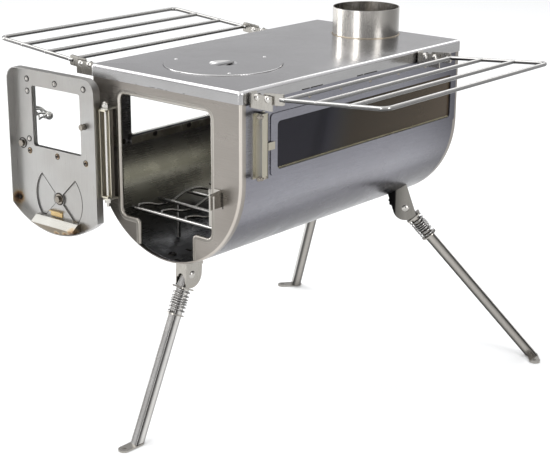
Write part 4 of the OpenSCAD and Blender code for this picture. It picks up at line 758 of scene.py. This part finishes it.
# Rope gasket that shows along the foot of each side pane
gasket = {"x": 120.3, "start": 63, "z": -99.7, "pitch": 0.9, "turn": 1.25, "count": 388, "swing": 0.3,
          "rise": 0.95, "strand": 0.45}
bm = bmesh.new()
for side in (-1, 1):
    rope = []
    for i in range(gasket["count"]):
        x = gasket["x"] + gasket["swing"] * cos(gasket["turn"] * i)
        z = gasket["z"] + gasket["rise"] * sin(gasket["turn"] * i)
        rope.append(at(side * x, gasket["start"] + i * gasket["pitch"], z))
    wire(bm, rope, gasket["strand"] * mm, 6)
meshPiece("window_gasket", bm, gasketRope, "stove", 60)

# Latch catch: the long plate beside the mouth that carries it, and the slot that it hooks through
catch = {"plate": ((70, 1.6, -166), (80, 2.8, -121)), "plateSoft": 0.4,
         "slot": ((93.0, -0.3, -140.5), (94.1, 0.1, -121)), "slotSoft": 0.05}
bm = bmesh.new()
boxOf(bm, *catch["plate"], catch["plateSoft"])
meshPiece("catch_backing", bm, foldedStrip, "stove")
bm = bmesh.new()
boxOf(bm, *catch["slot"], catch["slotSoft"])
meshPiece("catch_slot", bm, darkMarkAndShadow, "stove")
print("front panel and cooktop formed")


# Legs: springs wound on the square tubes, and the rear tubes painted darker than the front one as painted
# shade
shadedRearTube = {"dark": "#98948f", "light": "#aca8a2"}
legs = {"front": {}, "rear_right": shadedRearTube, "rear_left": shadedRearTube}
spring = {"curls": 7, "wire": 1.1, "radius": 9.6, "top": 19.6, "low": 51.1, "perCurl": 22, "closing": 0.055,
          "kept": 0.81}


def legFrame(name):
    # the leg's own axes: its tube runs down -Z from the pivot, the way its lock slides
    pivot, down = Vector(joints[name + "_leg_fold"]["pos_m"]), Vector(joints[name + "_leg_lock"]["axis"])
    return (Matrix.Translation(pivot) @ Matrix.Rotation(atan2(down.y, down.x), 4, "Z")
            @ Matrix.Rotation(-acos(-down.z), 4, "Y"))


for name, legShade in legs.items():
    place = legFrame(name)
    dressed(name + "_leg_tube", stainless(name + " drawn tube", {**drawn, **legShade, "tube": place}))
    steps = spring["curls"] * spring["perCurl"]
    length = spring["low"] - spring["top"]
    line = []
    for i in range(steps + 1):
        share = i / steps
        # the end coils lie closed on their seats, as ground spring ends do
        eased = share + spring["closing"] * sin(2 * pi * share)
        turn = 2 * pi * spring["curls"] * share
        drop = spring["top"] + spring["wire"] + (length - 2 * spring["wire"]) * eased
        x, y = spring["radius"] * cos(turn), spring["radius"] * sin(turn)
        line.append(place @ (Vector((x, y, -drop)) * mm))
    bm = bmesh.new()
    wire(bm, line, spring["wire"] * mm, 12, Vector((1, 0, 0)))
    coil = meshPiece(name + "_leg_coil", bm, polishedWire, name + "_leg", 60)
    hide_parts(name + "_leg_spring")
    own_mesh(coil)
print("springs wound")


# Side racks: one bent wire loop, long rods between its ends, two flat arms
rackPivot = measured(joints["right_rack_fold"]["pos_m"])
rack = {"tilt": 4.6, "reach": 158, "inner": 21.5, "rods": 3, "front": 12.55, "back": 332.55, "corner": 9,
        "wire": 2.5, "tuck": 5, "straight": 20, "weld": 3.0, "weldStretch": (1.15, 1.0, 0.95), "armT": 2.5,
        "armRound": 2.2, "arm": ((-6.5, -6.5), (21.5, 6.5)), "tail": ((-17.5, -6.5), (-6.5, -2.9))}
rodPitch = (rack["reach"] - rack["inner"]) / rack["rods"]


def rackPiece(name, side):
    place = (Matrix.Translation(at(0, 0, 0)) @ Matrix.Scale(side, 4, Vector((1, 0, 0)))
             @ Matrix.Translation(Vector((rackPivot[0] * mm, 0, rackPivot[2] * mm)))
             @ Matrix.Rotation(radians(-rack["tilt"]), 4, "Y"))

    def spot(x, y):
        return place @ Vector((x * mm, y * mm, 0))

    out, along = (place.to_3x3() @ Vector((1, 0, 0))).normalized(), Vector((0, 1, 0))
    bm = bmesh.new()
    end, corner = rack["reach"] - rack["corner"], rack["corner"] * mm
    start, front, back = rack["inner"], rack["front"], rack["back"]
    loop = [spot(start - rack["tuck"], front), spot(start + rack["straight"], front)]
    loop += arc(spot(end, front + rack["corner"]), corner, -90, 0, out, along)
    loop += arc(spot(end, back - rack["corner"]), corner, 0, 90, out, along)
    loop += [spot(start + rack["straight"], back), spot(start - rack["tuck"], back)]
    wire(bm, loop, rack["wire"] * mm, 14, Vector((0, 0, 1)))
    for i in range(rack["rods"]):
        x = start + i * rodPitch
        wire(bm, [spot(x, front), spot(x, back)], rack["wire"] * mm, 14, Vector((1, 0, 0)))
        for y in (front, back):
            # resistance welds swell a little where the wires cross
            lump(bm, spot(x, y), rack["weld"], rack["weldStretch"], 2)
    wires = meshPiece(name + "_wires", bm, polishedWire, name, 50)
    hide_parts(name)

    bm = bmesh.new()
    thick = rack["armT"]
    for y in (front, back):
        for (inner, low), (outer, high) in (rack["arm"], rack["tail"]):
            boxOf(bm, (inner, y - thick / 2, low), (outer, y + thick / 2, high), origin=Vector())
    across = [edge for edge in bm.edges if abs(edge.verts[0].co.y - edge.verts[1].co.y) > 1 * mm]
    bmesh.ops.bevel(bm, geom=across, offset=rack["armRound"] * mm, segments=5, profile=0.5, affect="EDGES",
                    material=-1)
    bmesh.ops.transform(bm, matrix=place, verts=bm.verts)
    arms = meshPiece(name + "_arms", bm, foldedStrip, name, 40)
    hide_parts(name)


rackPiece("right_rack", 1)
rackPiece("left_rack", -1)
print("racks bent")


# Log grate: straight cross rods, crimped long wires woven over and under them, and four legs
grate = {"drop": -174, "front": 14.5, "pitch": 46.375, "rods": 9, "half": 71, "rod": 2.5, "wires": 4,
         "span": 120, "crimp": 4.35, "flatten": 0.18, "wire": 1.75, "fine": 12, "leg": 2.35, "legX": 38,
         "foot": -217.6}
bm = bmesh.new()
for i in range(grate["rods"]):
    y = grate["front"] + i * grate["pitch"]
    ends = [at(x, y, grate["drop"]) for x in (-grate["half"], grate["half"])]
    wire(bm, ends, grate["rod"] * mm, 14)
for i in range(grate["wires"]):
    x = -grate["span"] / 2 + i * grate["span"] / (grate["wires"] - 1)
    line = []
    for k in range(grate["fine"] * (grate["rods"] - 1) + 1):
        # crimped wire is nearly straight between its bends
        wave = cos(pi * k / grate["fine"])
        wave = (1 + grate["flatten"]) * wave - grate["flatten"] * wave ** 3
        y = grate["front"] + k * grate["pitch"] / grate["fine"]
        line.append(at(x, y, grate["drop"] + grate["crimp"] * wave))
    wire(bm, line, grate["wire"] * mm, 10, Vector((1, 0, 0)))
for i in (1, grate["rods"] - 2):
    y = grate["front"] + i * grate["pitch"]
    for x in (-grate["legX"], grate["legX"]):
        wire(bm, [at(x, y, grate["drop"]), at(x, y, grate["foot"])], grate["leg"] * mm, 12, Vector((1, 0, 0)))
grill = meshPiece("woven_grate", bm, grateWire, "grate", 50)
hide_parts("log_grate")
print("grate woven")


# Latch handle: five wires twisted into a basket that stays cool, between a ferrule and a ball
grip = {"rootX": 82, "y": -30.5, "z": -79.5, "length": 50, "bulge": 8.0, "neck": 3.6, "wire": 1.35,
        "strands": 5, "twist": 200, "steps": 40, "ends": 4, "ferruleR": 5.6, "ballR": 5.4, "ballIn": 2.5}
bm = bmesh.new()
for strand in range(grip["strands"]):
    line = []
    for i in range(grip["steps"] + 1):
        share = i / grip["steps"]
        radius = grip["neck"] + (grip["bulge"] - grip["neck"]) * sin(pi * share) ** 2
        turn = 2 * pi * strand / grip["strands"]
        turn += radians(grip["twist"]) * (share - sin(2 * pi * share) / (4 * pi))
        x = grip["rootX"] - grip["ends"] - share * (grip["length"] - 2 * grip["ends"])
        line.append(onDoor(x, grip["y"] + radius * cos(turn), grip["z"] + radius * sin(turn)))
    wire(bm, line, grip["wire"] * mm, 10)
plug(bm, onDoor(grip["rootX"] - grip["ends"] / 2, grip["y"], grip["z"]), facingSide,
     (grip["ferruleR"], grip["ferruleR"]), grip["ends"])
ball(bm, onDoor(grip["rootX"] - grip["length"] + grip["ballIn"], grip["y"], grip["z"]), grip["ballR"], 32, 20)
handle = meshPiece("basket_handle", bm, polishedWire, "latch", 50)
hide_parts("spiral_handle")
print("handle twisted")


# Hinge channel: a shallow fold on the door's edge that leaves the rod in view between its two end plates
hingeX, hingeY, _ = measured(hinge)
channel = {"half": 6, "sheet": 1.2, "low": -160, "high": -50, "end": 2, "lip": 4.8, "cut": -0.4,
           "tongue": -78, "weld": (-79.4, -11.2), "stretch": (0.8, 0.7, 1.3),
           "lumps": ((-54, 2.2), (-58, 1.5), (-102, 2.0), (-107, 1.7), (-146, 1.9), (-152, 2.3))}
bm = bmesh.new()
left, right = hingeX - channel["half"], hingeX + channel["half"]
rear, sheet = hingeY - channel["half"], channel["sheet"]
inside = (rear + sheet, hingeY + channel["lip"])
walls = [
    ((left, right), (rear, rear + sheet)),
    ((left, left + sheet), (rear + sheet, hingeY + channel["cut"])),
    ((right - sheet, right), inside),
    ((right, channel["tongue"]), (hingeY - sheet, hingeY))]
plates = [(x, y, (channel["low"], channel["high"])) for x, y in walls]
for low in (channel["low"], channel["high"] - channel["end"]):
    plates.append(((left + sheet, right - sheet), inside, (low, low + channel["end"])))
for spans in plates:
    verts = boxOf(bm, [low for low, high in spans], [high for low, high in spans])
    bmesh.ops.transform(bm, matrix=doorTurn, verts=verts)
for z, radius in channel["lumps"]:
    lump(bm, onDoor(*channel["weld"], z), radius, channel["stretch"])
fold = meshPiece("hinge_fold", bm, shadedChannel, "door")
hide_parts("door_hinge_channel")


# Ash lip: a folded trough whose top slopes down to a straight edge and whose foot follows the round floor
lip = {"half": 38, "top": -204, "rear": -10.3, "ledge": -4.5, "apex": 5.2, "apexZ": -211.5, "toe": 1.5,
       "radius": 116, "soft": 0.9, "back": 0.3, "steps": 24}
bm = bmesh.new()
sections = []
apex, apexZ, soft = lip["apex"], lip["apexZ"], lip["soft"]
for i in range(lip["steps"] + 1):
    x = -lip["half"] + 2 * lip["half"] * i / lip["steps"]
    foot = floorAxis - sqrt(lip["radius"] ** 2 - x ** 2)
    section = [(lip["rear"], lip["top"]), (lip["ledge"], lip["top"]), (apex - soft, apexZ + 0.7 * soft),
               (apex, apexZ - 0.4 * soft), (apex - lip["back"], apexZ - 1.5 * soft), (lip["toe"], foot),
               (lip["rear"], foot)]
    sections.append([onDoor(x, y, z) for y, z in section])
drawnSections = bands(bm, sections, True)
for end in (drawnSections[0], drawnSections[-1]):
    bmesh.ops.contextual_create(bm, geom=end)
foldedLip = meshPiece("folded_ash_lip", bm, lipSheet, "door", 24)
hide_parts("door_ash_lip")


# Door marks: the damper's sector cuts, dark rims round the fixings, and the rivet at the lip's end
hubX, _, hubZ = closedPlace("air_damper")
boltX, _, boltZ = closedPlace("door_latch")
doorMarks = {
    "face": -10.15, "cut": 0.24, "cutIn": 9.5, "cutOut": 42, "sector": 44, "screwRim": 3.6, "screwLine": 0.4,
    "rimLine": 0.6, "boltRim": 6.4, "hubRim": 7.6, "pitY": -8.8, "pitR": (1.5, 1.3), "pitDeep": 0.6,
    "rivet": (-33, -3.5, -211), "rivetR": 3.2, "burr": (72.5, -9.2, -189), "burrR": 2.9}
screws = [(-50.75, -30.8), (0, -30.8), (50.75, -30.8), (-50.75, -77.05), (50.75, -46.2), (50.75, -107.9),
          (-50.75, -123.3), (0, -123.3), (50.75, -123.3)]
flatEnds, pits = screws[:6], screws[6:]


def onFace(points):
    return [onDoor(x, doorMarks["face"], z) for x, z in points]


def darkRim(x, z, radius, thick, sides):
    rim = onFace(turned(x, z, radius, 0, 360 - 360 / sides, sides - 1))
    wire(bm, rim, thick * mm, 6, Vector((0, 1, 0)), True)


bm = bmesh.new()
inner, outer, sector = doorMarks["cutIn"], doorMarks["cutOut"], doorMarks["sector"]
for side in (0, 180):
    hub = turned(hubX, hubZ, inner, side - sector, side + sector, 10)
    rim = turned(hubX, hubZ, outer, side + sector, side - sector, 24)
    wire(bm, onFace([hub[-1]] + rim + hub[:-1]), doorMarks["cut"] * mm, 6, closed=True)
for x, z in screws:
    darkRim(x, z, doorMarks["screwRim"], doorMarks["screwLine"], 24)
darkRim(boltX, boltZ, doorMarks["boltRim"], doorMarks["rimLine"], 36)
darkRim(hubX, hubZ, doorMarks["hubRim"], doorMarks["rimLine"], 36)
for x, z in pits:
    plug(bm, onDoor(x, doorMarks["pitY"], z), facingFront, doorMarks["pitR"], doorMarks["pitDeep"], 24)
ball(bm, onDoor(*doorMarks["rivet"]), doorMarks["rivetR"], 24, 12)
ball(bm, onDoor(*doorMarks["burr"]), doorMarks["burrR"], 20, 10)
meshPiece("door_marks", bm, darkMarkAndShadow, "door", 50)

# Fixings on the door's inner face: a stud with its nut, the screws' flat ends, and the damper's washer
studX, studZ = screws[3]
studNut = {"stud": ((-10.3, -3.6), 3.4, 32), "nut": ((-6.2, -3.9), 4.2, 6)}
bm = bmesh.new()
for (low, high), radius, sides in studNut.values():
    plug(bm, onDoor(studX, (low + high) / 2, studZ), facingFront, (radius, radius), high - low, sides)
meshPiece("stud_nut", bm, smokedFixing, "door", 35)

screwEnd = {"y": -10.0, "radii": (3.2, 2.7), "deep": 0.8, "sides": 40}
bm = bmesh.new()
for x, z in flatEnds:
    plug(bm, onDoor(x, screwEnd["y"], z), facingFront, screwEnd["radii"], screwEnd["deep"], screwEnd["sides"])
meshPiece("screw_ends", bm, doorSheet, "door", 35)

washer = {"y": -9.9, "radii": (7.2, 6.8), "deep": 0.9, "sides": 48}
bm = bmesh.new()
plug(bm, onDoor(hubX, washer["y"], hubZ), facingFront, washer["radii"], washer["deep"], washer["sides"])
meshPiece("damper_washer", bm, smokedFixing, "door", 35)
print("door marked")


# Camera, lights and floor
view = {"place": (1127.2, -1114.1, 328.2), "down": 17.632, "round": 41.712, "sensor": 36, "lens": 91.26,
        "shift": (0.0466, -0.0125), "far": 30}
camera = bpy.data.objects.new("camera", bpy.data.cameras.new("camera"))
bpy.context.scene.collection.objects.link(camera)
camera.location = at(*view["place"])
camera.rotation_euler = (radians(90 - view["down"]), 0, radians(view["round"]))
camera.data.sensor_width = view["sensor"]
camera.data.lens = view["lens"]
camera.data.shift_x, camera.data.shift_y = view["shift"]
camera.data.clip_end = view["far"]
bpy.context.scene.camera = camera
bpy.context.scene.view_settings.view_transform = "Standard"


def areaLight(name, place, aim, size, power, tone="#ffffff"):
    lamp = bpy.data.lights.new(name, "AREA")
    lamp.shape = "RECTANGLE"
    lamp.size, lamp.size_y = size
    lamp.energy = power
    lamp.color = colour(tone)[:3]
    thing = bpy.data.objects.new(name, lamp)
    bpy.context.scene.collection.objects.link(thing)
    thing.location = place
    thing.rotation_euler = (Vector(aim) - Vector(place)).to_track_quat("-Z", "Y").to_euler()
    return thing


# each softbox by its place in metres, its size and its power
middle = (0, 0, 0.33)
softboxes = {
    "key softbox": ((-1.5, -1.2, 2.5), (3.4, 2.4), 42), "right softbox": ((2.6, -0.2, 1.3), (0.9, 1.6), 26),
    "front strip": ((0.3, -2.6, 0.9), (0.7, 1.4), 18), "back softbox": ((-0.6, 2.4, 1.9), (2.2, 1.0), 10),
    "left strip": ((-2.5, -1.0, 0.6), (0.8, 1.4), 22)}
for name, (place, size, power) in softboxes.items():
    areaLight(name, place, middle, size, power)
# daylight that comes in by the right-hand window and browns on the far wall
glow = areaLight("window glow", at(112, 240, -72), at(-120, 240, -140), (0.34, 0.05), 0.05, "#f7f5ee")
glow.visible_camera = False

floorMesh = bmesh.new()
bmesh.ops.create_grid(floorMesh, x_segments=1, y_segments=1, size=6)
floorData = bpy.data.meshes.new("floor")
floorMesh.to_mesh(floorData)
floorMesh.free()
floorPaint = bpy.data.materials.new("pale floor")
floorPaint.use_nodes = True
floorShader = floorPaint.node_tree.nodes["Principled BSDF"]
floorShader.inputs["Base Color"].default_value = colour("#fafafa")
floorShader.inputs["Roughness"].default_value = 0.9
floorData.materials.append(floorPaint)
floorPiece = link(floorData, "floor")
floorPiece.location.z = -0.5 * mm

world = bpy.data.worlds.new("studio")
bpy.context.scene.world = world
world.use_nodes = True
worldTree = world.node_tree
backdrop = worldTree.nodes["Background"]
rayPath = addNode(worldTree, "ShaderNodeLightPath")
# the steel mirrors a grey studio, the floor is lit by a white one, and the camera sees plain white
skyward = addNode(worldTree, "ShaderNodeTexCoord").outputs["Generated"]
up = addNode(worldTree, "ShaderNodeSeparateXYZ", links={0: skyward})
studio = toned(worldTree, up.outputs["Z"], -0.2, 1.0, [
    (0.0, "#c9cacc"), (0.2, "#d2d2d4"), (0.45, "#c6c6c8"), (0.6, "#d8d8da"), (0.8, "#ffffff"),
    (1.0, "#ffffff")])
sky = addNode(worldTree, "ShaderNodeMix", {"data_type": "RGBA", 6: colour("#f2f3f4")},
              {0: rayPath.outputs["Is Glossy Ray"], 7: studio}).outputs[2]
sky = addNode(worldTree, "ShaderNodeMix", {"data_type": "RGBA", 7: colour("#ffffff")},
              {0: rayPath.outputs["Is Camera Ray"], 6: sky}).outputs[2]
worldTree.links.new(sky, backdrop.inputs["Color"])
backdrop.inputs["Strength"].default_value = 1.0
print("camera and light set")
